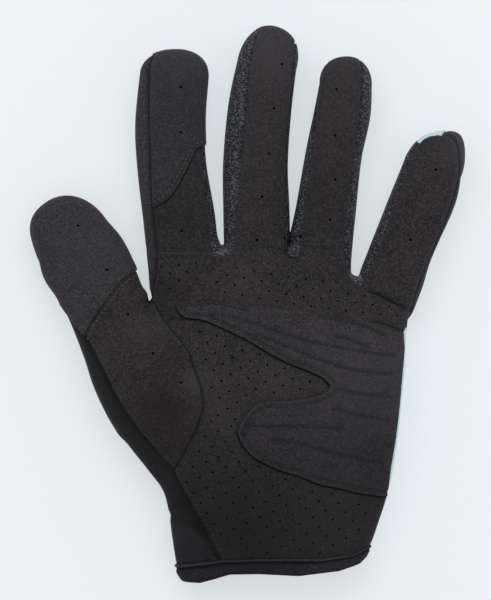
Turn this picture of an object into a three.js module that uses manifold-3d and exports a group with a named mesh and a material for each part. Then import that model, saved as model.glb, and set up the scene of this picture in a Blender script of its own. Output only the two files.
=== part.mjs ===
// Full-finger cycling glove for the left hand, lying palm up on its back. Millimetres.
// +X points away from the thumb, +Y towards the fingertips, +Z up out of the palm.
// The glove is worked out as one hollow form, five fingers and a palm, whose wall is then cut
// along the glove's seams into the panels that a glove maker sews together.

import * as THREE from 'three';
import { mergeVertices } from 'three/addons/utils/BufferGeometryUtils.js';
import Module from 'manifold-3d';

const wasm = await Module();
wasm.setup();

// Driving dimensions

const WALL = 1.4;
const GAP = 0.3;
const PATCH_THICKNESS = 1.5;
const PATCH_LOWEST = 12;
const BINDING_PROUD = 0.7;

// How far the round back would sink below the surface, where it lies flattened instead
const FLOOR_SINK = 0.8;

// Exponents of the rounded sections and fingertips: 2 is an ellipse, more is squarer
const FINGER_SQUARENESS = 2.4;
const PALM_SQUARENESS = 3.0;
const TIP_ROUNDNESS = 2.2;

// How finely the form is faceted, and the largest step that is smoothed away from a cut piece
const FINGER_SIDES = 16;
const PALM_SIDES = 24;
const FINGER_STATIONS = 7;
const TIP_STEPS = [0.36, 0.62, 0.82, 0.94];
const SMALLEST_STEP = 0.03;

// A distance past the glove on every side, and the height range of an upright cut
const FAR = 140;
const BELOW = -5;
const ABOVE = 80;
const CUFF_OVERRUN = 10;

// Moves the drawing's origin under the middle of the glove's box
const ORIGIN_SHIFT = new THREE.Vector3(-0.2, -0.25, 0);

// Each finger is a row of cross sections from its root inside the palm to the start of its
// rounded tip: centre x and y, half width, depth from back to palm face, and the height of its
// underside above the surface that the glove lies on. tip is the length of the rounded end, and
// lean is its direction in degrees from +Y towards +X.

const FINGER_COLUMNS = ['x', 'y', 'half', 'depth', 'lift'];
const FINGERS = {
  index: {
    tip: 10.3,
    lean: -1.8,
    rows: [
      [-24.5, -2.0, 14.6, 19.0, 0.0],
      [-23.6, 14.0, 15.0, 19.0, 0.0],
      [-26.0, 24.5, 14.5, 18.5, 0.0],
      [-27.4, 36.0, 14.4, 17.5, 0.4],
      [-30.0, 54.2, 13.9, 16.5, 1.4],
      [-30.9, 71.6, 13.9, 16.0, 2.8],
      [-29.4, 91.3, 13.5, 15.0, 4.6],
    ],
  },
  middle: {
    tip: 15.0,
    lean: 18,
    rows: [
      [3.0, -2.0, 13.2, 19.0, 0.0],
      [3.9, 19.0, 13.2, 19.0, 0.0],
      [3.8, 36.0, 13.3, 17.5, 0.4],
      [3.4, 56.4, 13.0, 16.5, 1.4],
      [5.2, 79.0, 12.7, 16.0, 2.8],
      [8.1, 96.5, 11.9, 15.0, 4.4],
    ],
  },
  ring: {
    tip: 11.0,
    lean: -5,
    rows: [
      [28.0, -4.0, 12.6, 19.0, 0.0],
      [28.6, 17.0, 13.1, 19.0, 0.0],
      [31.5, 37.0, 12.1, 17.5, 0.4],
      [34.7, 59.6, 11.3, 16.0, 1.6],
      [38.2, 76.5, 11.3, 15.5, 3.0],
      [39.5, 88.1, 10.5, 14.5, 4.2],
    ],
  },
  little: {
    tip: 15.4,
    lean: 30,
    rows: [
      [49.0, -7.0, 12.4, 18.0, 0.0],
      [57.0, 8.0, 13.0, 18.0, 0.0],
      [62.0, 21.6, 12.5, 17.0, 0.2],
      [69.6, 40.6, 12.6, 15.5, 1.4],
      [74.0, 54.8, 11.4, 14.5, 3.2],
    ],
  },
  thumb: {
    tip: 18.0,
    lean: -38,
    rows: [
      [-38.0, -42.0, 17.0, 22.0, 0.0],
      [-44.3, -31.0, 17.0, 22.5, 0.0],
      [-49.7, -16.0, 16.6, 21.5, 0.0],
      [-56.2, -0.5, 16.2, 19.5, 0.4],
      [-60.3, 8.5, 16.7, 18.5, 0.8],
      [-65.2, 17.2, 17.2, 17.5, 1.4],
      [-70.1, 25.5, 15.6, 17.0, 2.2],
    ],
  },
};

// The palm is a row of sections from the open cuff to the roots of the fingers: the ends of the
// section on the thumb side and on the little finger side, and the depth there.

const PALM_COLUMNS = ['leftX', 'leftY', 'rightX', 'rightY', 'depth'];
const PALM_ROWS = [
  [-21.0, -116.0, 42.0, -116.0, 18.0],
  [-27.5, -106.5, 46.2, -106.5, 18.6],
  [-30.0, -94.0, 50.4, -94.0, 20.0],
  [-31.4, -83.5, 54.7, -81.0, 21.3],
  [-33.8, -74.6, 56.7, -74.0, 22.2],
  [-39.4, -66.8, 58.3, -67.0, 23.0],
  [-52.0, -50.5, 60.5, -52.0, 24.5],
  [-56.8, -40.0, 61.7, -40.0, 25.0],
  [-51.0, -26.0, 62.9, -28.0, 25.0],
  [-43.0, -10.0, 63.5, -16.0, 24.0],
  [-39.2, 4.0, 64.0, -3.0, 22.5],
  [-40.2, 20.5, 62.0, 8.0, 20.5],
];

// Seams and edges in plan, each a row of x, y points that a smooth curve runs through

const INDEX_OUTER_SEAM = [[-38.4, 98.6], [-38.8, 92], [-38.8, 66], [-38.0, 40], [-36.0, 20.5]];
const INDEX_TO_THUMB_SEAM = [[-36.0, 20.5], [-36.6, 12], [-38.8, 1.7]];
const INDEX_CAP_EDGE = [[-16.5, 63.3], [-20.4, 61.7], [-24.8, 52.9], [-30.8, 42.9], [-38.0, 38.5]];
const INDEX_INNER_SEAM = [[-18.0, 63.6], [-17.2, 52.5], [-15.6, 38.9], [-13.6, 27], [-12.2, 20.5]];
const CROTCH_RIM_INDEX = [[-12.2, 20.5], [-11.4, 18.6], [-9.6, 17.9], [-7.4, 18.8], [-5.4, 22]];
const MIDDLE_LEFT_SEAM = [[-5.4, 22], [-3.4, 40], [-1.6, 62], [0, 80], [1.4, 98], [5.6, 112]];
const MIDDLE_RIGHT_SEAM = [[19.4, 108], [18.4, 100], [17.8, 90], [16.2, 68], [15.2, 44], [15.6, 28]];
const CROTCH_RIM_MIDDLE = [[15.6, 28], [16.6, 23.4], [18.4, 20.8], [19.8, 23.4]];
const RING_LEFT_SEAM = [[19.8, 23.4], [22, 38], [26.6, 65.7], [28, 80], [28.6, 92], [31.6, 101]];
const RING_RIGHT_SEAM = [[45.6, 101], [45.6, 90], [44.8, 76], [41.6, 50], [38.8, 23.7], [39.8, 15.5]];
const CROTCH_RIM_RING = [[39.8, 15.5], [41.6, 9], [44, 6.4], [46.4, 9.6], [49.2, 16.9]];
const LITTLE_LEFT_SEAM = [[49.2, 16.9], [57.2, 34], [63.8, 54], [66.6, 63.4], [70.4, 67.6]];
const LITTLE_RIGHT_SEAM = [[76.4, 68.2], [81.2, 65.4], [83.6, 59.7], [83.2, 49.7], [76.4, 27], [68.2, 8]];
const PALM_EDGE_SEAM = [[68.2, 8], [63.8, -6], [62.0, -14], [61.6, -26], [60.4, -38],
  [59.0, -54], [55.4, -74]];
const PALM_EDGE_TO_CUFF = [[55.4, -74], [52.6, -82], [49, -90], [46.5, -97], [45, -116]];
const CUFF_SEAM = [[51.6, -93.5], [48.4, -95.9], [41.2, -99.6], [29.2, -101.5], [5.2, -101.5],
  [-10, -101.5]];
const CUFF_SEAM_THUMB_SIDE = [[-10, -101.5], [-18.8, -103.1], [-28.4, -104.3], [-36, -104.5]];
const CUFF_MOUTH = [[51.6, -96.7], [48, -100.5], [44.4, -103.3], [37.2, -105.9], [21.2, -108]];
const CUFF_MOUTH_THUMB_SIDE = [[21.2, -108], [-7.6, -107.2], [-14.8, -109.1], [-22, -110.9],
  [-36, -111.2]];
const GUSSET_SEAM = [[-10, -116], [-11.2, -102], [-13, -97.3], [-18.8, -86], [-25, -75.5],
  [-29.2, -66.3]];
const THUMB_PALM_SEAM = [[-29.2, -66.3], [-25.6, -60.3], [-18.8, -46.3], [-17.6, -36.3], [-22.8, -20.3]];
const THUMB_CROTCH_SEAM = [[-22.8, -20.3], [-27.6, -13.5], [-34.4, -5.5], [-39.6, 2.4]];
const THUMB_OUTER_SEAM = [[-64.9, -12.8], [-58.8, -24.3], [-50.4, -40.3], [-42.4, -51.6], [-29.2, -66.3]];
const THUMB_CAP_EDGE = [[-42.4, 15.5], [-44.4, 13.5], [-50, 9.7], [-56, 1.7], [-62.8, -8.3],
  [-67, -14.5]];
const PATCH_UPPER_EDGE = [[-28.4, 0], [-27, 1.4], [-18.8, 2.1], [-6.8, 0.5], [17.2, -1.9], [47.2, -6.7]];
const PATCH_SIDE = [[47.2, -6.7], [61.4, -12], [61.2, -26], [60.0, -38], [58.6, -54], [54.9, -75.6]];
const PATCH_LOWER_EDGE = [[54.9, -75.6], [45.2, -75.1], [29.2, -71.5], [13.2, -65.9],
  [2.8, -60.7], [-2.8, -54.3]];
const PATCH_LOWER_LOBE = [[-2.8, -54.3], [-3.4, -50.6], [0, -43.5], [7.2, -38.7], [17.2, -38.3],
  [32.4, -33.8]];
const PATCH_UPPER_LOBE = [[32.4, -31.6], [25.2, -26.7], [9.2, -19.5], [-6.8, -10.7],
  [-18.8, -5.9], [-26, -4.3]];

// Where the side walls of the fingers start and stop in height, along the hand: y, and z

const PALM_FACE_FLOOR = [[-130, 9.6], [-100, 10], [-60, 12.6], [-12, 12.2], [20, 9.6], [120, 12]];
const BACK_CEILING = [[-130, 4.2], [20, 4.6], [120, 8]];

// Plan regions that the side pieces fill

const INDEX_SIDE_REGION = [[-29.6, 125], [-29.6, 91], [-30.9, 72], [-27, 24], [-27, 3],
  [-41, 1], [-56, 30], [-56, 125]];
const INDEX_MIDDLE_REGION = [[-29.6, 125], [-29.6, 91], [-30.9, 72], [-26, 24], [-22, 6],
  [3, 6], [3, 36], [5, 79], [8, 97], [12, 125]];
const MIDDLE_RING_REGION = [[12, 125], [8, 97], [5, 79], [3, 36], [3, 2], [29, 2], [31.3, 37],
  [37.4, 76], [39, 90], [40, 125]];
const RING_LITTLE_REGION = [[40, 125], [39, 90], [37.4, 76], [31.3, 37], [29, 2], [53, 0],
  [62, 22], [68.6, 39.5], [74.8, 58], [80, 84]];
const LITTLE_SIDE_REGION = [[80, 84], [74.8, 58], [68.6, 39.5], [62, 22], [53, 0], [53, -36],
  [95, -36], [95, 84]];
const WRAPPED_EDGE_REGION = [[30, -36.3], [30, -FAR], [95, -FAR], [95, -36.3]];
const THUMB_BACK_REGION = [[-100, 60], [-58, 60], [-43, 16], [-40.6, 2.8], [-33, -16],
  [-24, -40], [-18, -66], [-10, -90], [-6, -112], [-60, -125], [-100, -20]];

const COLOURS = {
  suede: 0x302c2d,
  capSuede: 0x343031,
  patchSuede: 0x353135,
  mesh: 0x1d1e22,
  stretch: 0x1e2224,
  mint: 0xa9dcd8,
  binding: 0x1c1a20,
};

// Named columns of a table of rows
function named(rows, columns) {
  return rows.map((row) => Object.fromEntries(columns.map((name, i) => [name, row[i]])));
}

// One column of a table, read smoothly at a place between 0 and 1 along its rows
function smoothColumn(rows, name, place) {
  const scaled = place * (rows.length - 1);
  const i = Math.min(Math.floor(scaled), rows.length - 2);
  const t = scaled - i;
  const before = rows[Math.max(i - 1, 0)][name];
  const start = rows[i][name];
  const end = rows[i + 1][name];
  const after = rows[Math.min(i + 2, rows.length - 1)][name];
  const startSlope = (end - before) / 2;
  const endSlope = (after - start) / 2;
  return (2 * t ** 3 - 3 * t ** 2 + 1) * start + (t ** 3 - 2 * t ** 2 + t) * startSlope
    + (-2 * t ** 3 + 3 * t ** 2) * end + (t ** 3 - t ** 2) * endSlope;
}

// A table with more rows, read smoothly at even places
function resampled(rows, columns, count) {
  return Array.from({ length: count }, (_, k) => Object.fromEntries(
    columns.map((name) => [name, smoothColumn(rows, name, k / (count - 1))]),
  ));
}

// A closed superellipse section that stands on edge across the direction `across`
function section({ centre, across, half, low, high, squareness, sides }) {
  const middle = (low + high) / 2;
  const rise = (high - low) / 2;
  return Array.from({ length: sides }, (_, k) => {
    const angle = (2 * Math.PI * k) / sides;
    const reach = Math.sign(Math.cos(angle)) * Math.abs(Math.cos(angle)) ** (2 / squareness) * half;
    const height = Math.sign(Math.sin(angle)) * Math.abs(Math.sin(angle)) ** (2 / squareness) * rise;
    return new THREE.Vector3(centre.x + across.x * reach, centre.y + across.y * reach, middle + height);
  });
}

// A closed skin over a row of rings with equal numbers of points, with a fan over each end
function loft(rings) {
  const sides = rings[0].length;
  const vertices = rings.flat();
  const ends = [rings[0], rings[rings.length - 1]].map(
    (ring) => ring.reduce((sum, p) => sum.add(p), new THREE.Vector3()).divideScalar(sides),
  );
  vertices.push(...ends);
  const index = [];
  for (let r = 0; r < rings.length - 1; r += 1) {
    for (let s = 0; s < sides; s += 1) {
      const a = r * sides + s;
      const b = r * sides + ((s + 1) % sides);
      index.push(a, b + sides, b, a, a + sides, b + sides);
    }
  }
  const last = (rings.length - 1) * sides;
  const startCentre = vertices.length - 2;
  const endCentre = vertices.length - 1;
  for (let s = 0; s < sides; s += 1) {
    const next = (s + 1) % sides;
    index.push(s, next, startCentre, last + next, last + s, endCentre);
  }
  const geometry = new THREE.BufferGeometry().setFromPoints(vertices);
  geometry.setIndex(index);
  return geometry;
}

// A closed geometry as a solid that can be joined and cut
function solid(geometry) {
  const bare = geometry.clone();
  bare.deleteAttribute('normal');
  bare.deleteAttribute('uv');
  const merged = mergeVertices(bare, 1e-4);
  const mesh = new wasm.Mesh({
    numProp: 3,
    vertProperties: new Float32Array(merged.attributes.position.array),
    triVerts: new Uint32Array(merged.index.array),
  });
  return new wasm.Manifold(mesh);
}

const union = (solids) => solids.reduce((sum, next) => sum.add(next));

// A finger's solid, its skin drawn in by `inset` from the outside of the glove
function fingerSolid(finger, inset) {
  const table = named(finger.rows, FINGER_COLUMNS);
  const stations = resampled(table, FINGER_COLUMNS, FINGER_STATIONS);
  const rings = stations.map((row, i) => {
    const previous = stations[Math.max(i - 1, 0)];
    const next = stations[Math.min(i + 1, stations.length - 1)];
    const along = new THREE.Vector2(next.x - previous.x, next.y - previous.y).normalize();
    return { row, along, shrink: 1, forward: 0 };
  });
  const end = rings[rings.length - 1];
  const lean = THREE.MathUtils.degToRad(finger.lean);
  const direction = new THREE.Vector2(Math.sin(lean), Math.cos(lean));
  TIP_STEPS.forEach((t) => {
    const shrink = (1 - t ** TIP_ROUNDNESS) ** (1 / TIP_ROUNDNESS);
    rings.push({ row: end.row, along: direction, shrink, forward: t * (finger.tip - inset) });
  });
  const sections = rings.map(({ row, along, shrink, forward }) => {
    const base = Math.max(row.lift - FLOOR_SINK, inset > 0 ? 0 : -FLOOR_SINK) + inset;
    const top = row.lift + row.depth - inset;
    const middle = (base + top) / 2;
    const rise = ((top - base) / 2) * shrink;
    return section({
      centre: new THREE.Vector2(row.x + along.x * forward, row.y + along.y * forward),
      across: new THREE.Vector2(along.y, -along.x),
      half: (row.half - inset) * shrink,
      low: middle - rise,
      high: middle + rise,
      squareness: FINGER_SQUARENESS,
      sides: FINGER_SIDES,
    });
  });
  return solid(loft(sections));
}

// The palm's solid, its skin drawn in by `inset`, past the cuff by `extend`
function palmSolid(inset, extend) {
  const stations = named(PALM_ROWS, PALM_COLUMNS);
  const sections = stations.map((row, i) => {
    const left = new THREE.Vector2(row.leftX, row.leftY);
    const right = new THREE.Vector2(row.rightX, row.rightY);
    const across = right.clone().sub(left);
    const half = across.length() / 2 - inset;
    const centre = left.add(right).divideScalar(2);
    if (i === 0) centre.y -= extend;
    if (i === stations.length - 1) centre.y -= Math.max(inset, 0);
    return section({
      centre,
      across: across.normalize(),
      half,
      low: inset > 0 ? inset : inset - FLOOR_SINK,
      high: row.depth - inset,
      squareness: PALM_SQUARENESS,
      sides: PALM_SIDES,
    });
  });
  return solid(loft(sections));
}

// Points of a smooth curve through a few plan points, `steps` to each stretch
function curve(points, steps = 2) {
  const spline = new THREE.SplineCurve(points.map(([x, y]) => new THREE.Vector2(x, y)));
  return spline.getPoints(steps * (points.length - 1));
}

// Several curves end to end as one closed outline, without doubled corners
function outline(...runs) {
  const points = runs.flat();
  return points.filter((p, i) => p.distanceTo(points[(i + 1) % points.length]) > 0.05);
}

// An outline moved outwards by a distance, at its corners along the mean of the two normals
function grown(points, distance) {
  const turn = THREE.ShapeUtils.isClockWise(points) ? -1 : 1;
  return points.map((p, i) => {
    const before = points[(i + points.length - 1) % points.length];
    const after = points[(i + 1) % points.length];
    const along = after.clone().sub(p).normalize().add(p.clone().sub(before).normalize()).normalize();
    return new THREE.Vector2(p.x + turn * along.y * distance, p.y - turn * along.x * distance);
  });
}

// An upright prism on a plan outline
function prism(points, low = BELOW, high = ABOVE) {
  const shape = new THREE.Shape(points);
  const geometry = new THREE.ExtrudeGeometry(shape, { depth: high - low, bevelEnabled: false });
  return solid(geometry.translate(0, 0, low));
}

const corners = (rows) => rows.map(([x, y]) => new THREE.Vector2(x, y));

// Everything between a line in the side view, which runs the length of the hand, and a height
function layer(line, shift, limit) {
  const profile = line.map(([y, z]) => new THREE.Vector2(y, z + shift));
  profile.push(new THREE.Vector2(line[line.length - 1][0], limit), new THREE.Vector2(line[0][0], limit));
  const shape = new THREE.Shape(profile);
  const geometry = new THREE.ExtrudeGeometry(shape, { depth: 2 * FAR, bevelEnabled: false });
  const turn = new THREE.Matrix4().set(0, 0, 1, -FAR, 1, 0, 0, 0, 0, 1, 0, 0, 0, 0, 0, 1);
  return solid(geometry.applyMatrix4(turn));
}

// The hollow form

const fingers = Object.values(FINGERS);
const outerForm = union([palmSolid(0, 0), ...fingers.map((finger) => fingerSolid(finger, 0))]);
const hollow = union([
  palmSolid(WALL, CUFF_OVERRUN), ...fingers.map((finger) => fingerSolid(finger, WALL)),
]);
const aboveFloor = prism(corners([[-FAR, -FAR], [FAR, -FAR], [FAR, FAR], [-FAR, FAR]]), 0);
const skin = outerForm.subtract(hollow).intersect(aboveFloor);

// Outlines of the panels on the palm side

const palmOutline = outline(
  curve(GUSSET_SEAM),
  curve(THUMB_PALM_SEAM, 3),
  curve(THUMB_CROTCH_SEAM),
  curve([...INDEX_TO_THUMB_SEAM].reverse(), 1),
  curve(CROTCH_RIM_INDEX),
  curve(MIDDLE_LEFT_SEAM),
  curve([[8, 118], [16, 116]], 1),
  curve(MIDDLE_RIGHT_SEAM),
  curve(CROTCH_RIM_MIDDLE),
  curve(RING_LEFT_SEAM),
  curve([[34, 106], [44, 106]], 1),
  curve(RING_RIGHT_SEAM),
  curve(CROTCH_RIM_RING),
  curve(LITTLE_LEFT_SEAM),
  curve(LITTLE_RIGHT_SEAM),
  curve(PALM_EDGE_SEAM),
  curve(PALM_EDGE_TO_CUFF, 1),
);
const indexCapOutline = outline(
  curve(INDEX_CAP_EDGE),
  curve([...INDEX_OUTER_SEAM.slice(0, 3)].reverse(), 1),
  corners([[-36, 108], [-10, 108], [-10, 66]]),
);
const indexPanelOutline = outline(
  curve(INDEX_INNER_SEAM),
  curve([...INDEX_OUTER_SEAM].reverse()),
);
const thumbPanelOutline = outline(
  curve(THUMB_OUTER_SEAM),
  curve(THUMB_PALM_SEAM, 3),
  curve(THUMB_CROTCH_SEAM),
  corners([[-40.4, 8], [-41.6, 20], [-70, 20]]),
);
const thumbCapOutline = outline(
  curve(THUMB_CAP_EDGE),
  corners([[-80, -12], [-100, 30], [-80, 52], [-58, 52], [-46, 26]]),
);
const cuffOutline = outline(
  curve(CUFF_SEAM),
  curve(CUFF_SEAM_THUMB_SIDE),
  corners([[-FAR, -104.5], [-FAR, FAR], [FAR, FAR], [FAR, -93.5]]),
);
const mouthOutline = outline(
  curve(CUFF_MOUTH),
  curve(CUFF_MOUTH_THUMB_SIDE),
  corners([[-FAR, -111.2], [-FAR, FAR], [FAR, FAR], [FAR, -96.7]]),
);

// Cutting the wall into panels

const cuffCut = prism(cuffOutline);
const body = skin.intersect(cuffCut);
const palmSide = layer(PALM_FACE_FLOOR, 0, ABOVE);
const palmSideGrown = layer(PALM_FACE_FLOOR, -GAP, ABOVE);
const backSideGrown = layer(BACK_CEILING, GAP, BELOW);
const palmWall = body.intersect(palmSide);

const palmPanel = palmWall.intersect(prism(palmOutline));
const clearOfPalm = prism(grown(palmOutline, GAP));
const indexCap = palmWall.intersect(prism(indexCapOutline)).subtract(clearOfPalm);
const clearOfIndexCap = prism(grown(indexCapOutline, GAP));
const indexPanel = palmWall.intersect(prism(indexPanelOutline))
  .subtract(clearOfPalm).subtract(clearOfIndexCap);
const clearOfIndexPanel = prism(grown(indexPanelOutline, GAP));
const thumbCap = palmWall.intersect(prism(thumbCapOutline));
const clearOfThumbCap = prism(grown(thumbCapOutline, GAP));
const thumbPanel = palmWall.intersect(prism(thumbPanelOutline))
  .subtract(clearOfPalm).subtract(clearOfThumbCap);
const clearOfThumbPanel = prism(grown(thumbPanelOutline, GAP));

const palmClearance = union([
  clearOfPalm, clearOfIndexCap, clearOfIndexPanel, clearOfThumbCap, clearOfThumbPanel,
]).intersect(palmSideGrown);
const rest = body.subtract(palmClearance);

const thumbRegion = prism(corners(THUMB_BACK_REGION));
const clearOfThumbRegion = prism(grown(corners(THUMB_BACK_REGION), GAP));
const thumbBack = rest.intersect(thumbRegion);
const mainRest = rest.subtract(clearOfThumbRegion);

const sideRegions = {
  index_side_strip: INDEX_SIDE_REGION,
  fourchette_index_middle: INDEX_MIDDLE_REGION,
  fourchette_middle_ring: MIDDLE_RING_REGION,
  fourchette_ring_little: RING_LITTLE_REGION,
  little_side_panel: LITTLE_SIDE_REGION,
};
const sideWall = mainRest.subtract(backSideGrown);
const sidePieces = Object.entries(sideRegions).map(([name, region]) => (
  [name, sideWall.intersect(prism(grown(corners(region), -GAP / 2)))]
));

// The back panel wraps round the little finger side of the palm, below the side panel
const aboveBack = layer(BACK_CEILING, 0, ABOVE).subtract(prism(corners(WRAPPED_EDGE_REGION)));
const back = mainRest.subtract(aboveBack);

const bindingForm = palmSolid(-BINDING_PROUD, 0).subtract(hollow).intersect(aboveFloor);
const belowCuffSeam = prism(grown(cuffOutline, GAP));
const binding = bindingForm.intersect(prism(mouthOutline)).subtract(belowCuffSeam);

const patchOutline = outline(
  curve(PATCH_UPPER_EDGE),
  curve(PATCH_SIDE),
  curve(PATCH_LOWER_EDGE),
  curve(PATCH_LOWER_LOBE),
  curve(PATCH_UPPER_LOBE),
);
const patch = outerForm.translate([0, 0, GAP + PATCH_THICKNESS])
  .subtract(outerForm.translate([0, 0, GAP]))
  .intersect(prism(patchOutline, PATCH_LOWEST));

// The assembled glove

const glove = new THREE.Group();

function addPiece(name, piece, colour, roughness) {
  const { vertProperties, triVerts } = piece.simplify(SMALLEST_STEP).getMesh();
  const geometry = new THREE.BufferGeometry();
  geometry.setAttribute('position', new THREE.BufferAttribute(new Float32Array(vertProperties), 3));
  geometry.setIndex(new THREE.BufferAttribute(new Uint32Array(triVerts), 1));
  const material = new THREE.MeshStandardMaterial({ color: colour, roughness, metalness: 0 });
  const mesh = new THREE.Mesh(geometry, material);
  mesh.name = name;
  mesh.position.copy(ORIGIN_SHIFT);
  glove.add(mesh);
}

addPiece('palm_panel', palmPanel, COLOURS.suede, 0.95);
addPiece('index_palm_panel', indexPanel, COLOURS.suede, 0.95);
addPiece('index_tip_cap', indexCap, COLOURS.capSuede, 0.95);
addPiece('thumb_palm_panel', thumbPanel, COLOURS.suede, 0.95);
addPiece('thumb_tip_cap', thumbCap, COLOURS.capSuede, 0.95);
addPiece('palm_patch', patch, COLOURS.patchSuede, 0.95);
sidePieces.forEach(([name, piece]) => {
  const isMesh = name.startsWith('fourchette');
  addPiece(name, piece, isMesh ? COLOURS.mesh : COLOURS.suede, isMesh ? 0.8 : 0.9);
});
addPiece('thumb_back_panel', thumbBack, COLOURS.stretch, 0.6);
addPiece('back_panel', back, COLOURS.mint, 0.75);
addPiece('cuff_binding', binding, COLOURS.binding, 0.8);

export default glove;
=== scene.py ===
"""A full-finger cycling glove for the left hand, lying palm up on its back.

The glove is sewn from flat panels. Each panel here is laid on one hand form, given by the same
tables as the solids, and then finished as its own piece. All working sizes are millimetres in the
drawing's frame, and SHIFT moves them into the part's frame when a mesh is made.
"""

import bpy
import numpy as np
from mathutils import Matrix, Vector
from mathutils.geometry import delaunay_2d_cdt


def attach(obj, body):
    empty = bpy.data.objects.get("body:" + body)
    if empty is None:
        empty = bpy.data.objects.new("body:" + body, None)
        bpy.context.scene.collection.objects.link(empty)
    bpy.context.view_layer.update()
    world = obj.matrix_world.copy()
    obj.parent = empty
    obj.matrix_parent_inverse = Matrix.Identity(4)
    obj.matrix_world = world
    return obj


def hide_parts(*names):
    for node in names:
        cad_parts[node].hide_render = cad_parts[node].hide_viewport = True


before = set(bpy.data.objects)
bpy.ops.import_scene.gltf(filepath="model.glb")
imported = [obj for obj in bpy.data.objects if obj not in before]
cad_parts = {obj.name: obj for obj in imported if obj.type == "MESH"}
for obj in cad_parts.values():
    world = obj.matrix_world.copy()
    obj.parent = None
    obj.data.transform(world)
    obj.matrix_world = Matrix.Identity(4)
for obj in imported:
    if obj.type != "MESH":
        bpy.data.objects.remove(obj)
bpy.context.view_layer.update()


# The palm panel
# One piece of thin black suede: the palm and, as long tongues, the palm faces of the middle, ring
# and little fingers. It is punched with rows of small holes, and each finger has a few vents.

SHIFT = np.array([-0.2, -0.25, 0.0])
MM = 0.001

# Each finger: rows of x, y, half width, depth, lift, from its root to the start of its tip
FINGERS = {
    "index": dict(tip=10.3, lean=-1.8, rows=[
        (-24.5, -2.0, 14.6, 19.0, 0.0), (-23.6, 14.0, 15.0, 19.0, 0.0), (-26.0, 24.5, 14.5, 18.5, 0.0),
        (-27.4, 36.0, 14.4, 17.5, 0.4), (-30.0, 54.2, 13.9, 16.5, 1.4), (-30.9, 71.6, 13.9, 16.0, 2.8),
        (-29.4, 91.3, 13.5, 15.0, 4.6)]),
    "middle": dict(tip=15.0, lean=18, rows=[
        (3.0, -2.0, 13.2, 19.0, 0.0), (3.9, 19.0, 13.2, 19.0, 0.0), (3.8, 36.0, 13.3, 17.5, 0.4),
        (3.4, 56.4, 13.0, 16.5, 1.4), (5.2, 79.0, 12.7, 16.0, 2.8), (8.1, 96.5, 11.9, 15.0, 4.4)]),
    "ring": dict(tip=11.0, lean=-5, rows=[
        (28.0, -4.0, 12.6, 19.0, 0.0), (28.6, 17.0, 13.1, 19.0, 0.0), (31.5, 37.0, 12.1, 17.5, 0.4),
        (34.7, 59.6, 11.3, 16.0, 1.6), (38.2, 76.5, 11.3, 15.5, 3.0), (39.5, 88.1, 10.5, 14.5, 4.2)]),
    "little": dict(tip=15.4, lean=30, rows=[
        (49.0, -7.0, 12.4, 18.0, 0.0), (57.0, 8.0, 13.0, 18.0, 0.0), (62.0, 21.6, 12.5, 17.0, 0.2),
        (69.6, 40.6, 12.6, 15.5, 1.4), (74.0, 54.8, 11.4, 14.5, 3.2)]),
    "thumb": dict(tip=18.0, lean=-38, rows=[
        (-38.0, -42.0, 17.0, 22.0, 0.0), (-44.3, -31.0, 17.0, 22.5, 0.0),
        (-49.7, -16.0, 16.6, 21.5, 0.0), (-56.2, -0.5, 16.2, 19.5, 0.4), (-60.3, 8.5, 16.7, 18.5, 0.8),
        (-65.2, 17.2, 17.2, 17.5, 1.4), (-70.1, 25.5, 15.6, 17.0, 2.2)]),
}

# The palm: rows of left x, left y, right x, right y, depth, from the cuff to the fingers' roots.
# Each row lies across the hand, and its two ends are on the outline
PALM_ROWS = [
    (-21.0, -116.0, 42.0, -116.0, 18.0), (-27.5, -106.5, 46.2, -106.5, 18.6),
    (-30.0, -94.0, 50.4, -94.0, 20.0), (-31.4, -83.5, 54.7, -81.0, 21.3),
    (-33.8, -74.6, 56.7, -74.0, 22.2), (-39.4, -66.8, 58.3, -67.0, 23.0),
    (-52.0, -50.5, 60.5, -52.0, 24.5), (-56.8, -40.0, 61.7, -40.0, 25.0),
    (-51.0, -26.0, 62.9, -28.0, 25.0), (-43.0, -10.0, 63.5, -16.0, 24.0),
    (-39.2, 4.0, 64.0, -3.0, 22.5), (-40.2, 20.5, 62.0, 8.0, 20.5)]

# The edge of the palm at the fingers' roots, through the crotches. A distance to it is measured up
# the hand and made shorter for its slant. PALM_ROW_PITCH is about how far apart the rows lie that
# PALM_TABLE reads from the palm's
PALM_END = [(-50, 21.5), (-24, 22.5), (-10.2, 23.8), (4, 23.5), (18.4, 21.4), (31, 17), (43.9, 12.0),
            (54, 6), (72, 2)]
PALM_END_SLANT = 0.92
PALM_ROW_PITCH = 0.65

# The hand form: how far it would sink into the floor, the powers of its rounded sections, and the
# lengths over which its parts run out or join
FLOOR_SINK = 0.8
FINGER_SQUARENESS = 2.4
PALM_SQUARENESS = 3.0
END_SQUARENESS = 2.4
TIP_ROUNDNESS = 2.2
JOIN_POWER = 10
ROOT_FADE = 14.0
END_FADE = 7.0
MIDDLE_BLEND = 2.5
CROTCH_FILLET = 0.4


# The form of the hand: curves through its tables, distances inside its outline, and heights


def through(rows, count):
    """Smooth curve through the rows of a table, read at `count` even places: every column is the
    cubic whose slope at a row is half the difference of the row's neighbours."""
    rows = np.asarray(rows, float)
    place = np.linspace(0, len(rows) - 1, count)
    i = np.minimum(place.astype(int), len(rows) - 2)
    t = (place - i)[:, None]
    before, start, end, after = (rows[np.clip(i + k, 0, len(rows) - 1)] for k in (-1, 0, 1, 2))
    slope_in, slope_out = (end - before) / 2, (after - start) / 2
    return ((2 * t**3 - 3 * t**2 + 1) * start + (t**3 - 2 * t**2 + t) * slope_in
            + (3 * t**2 - 2 * t**3) * end + (t**3 - t**2) * slope_out)


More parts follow.
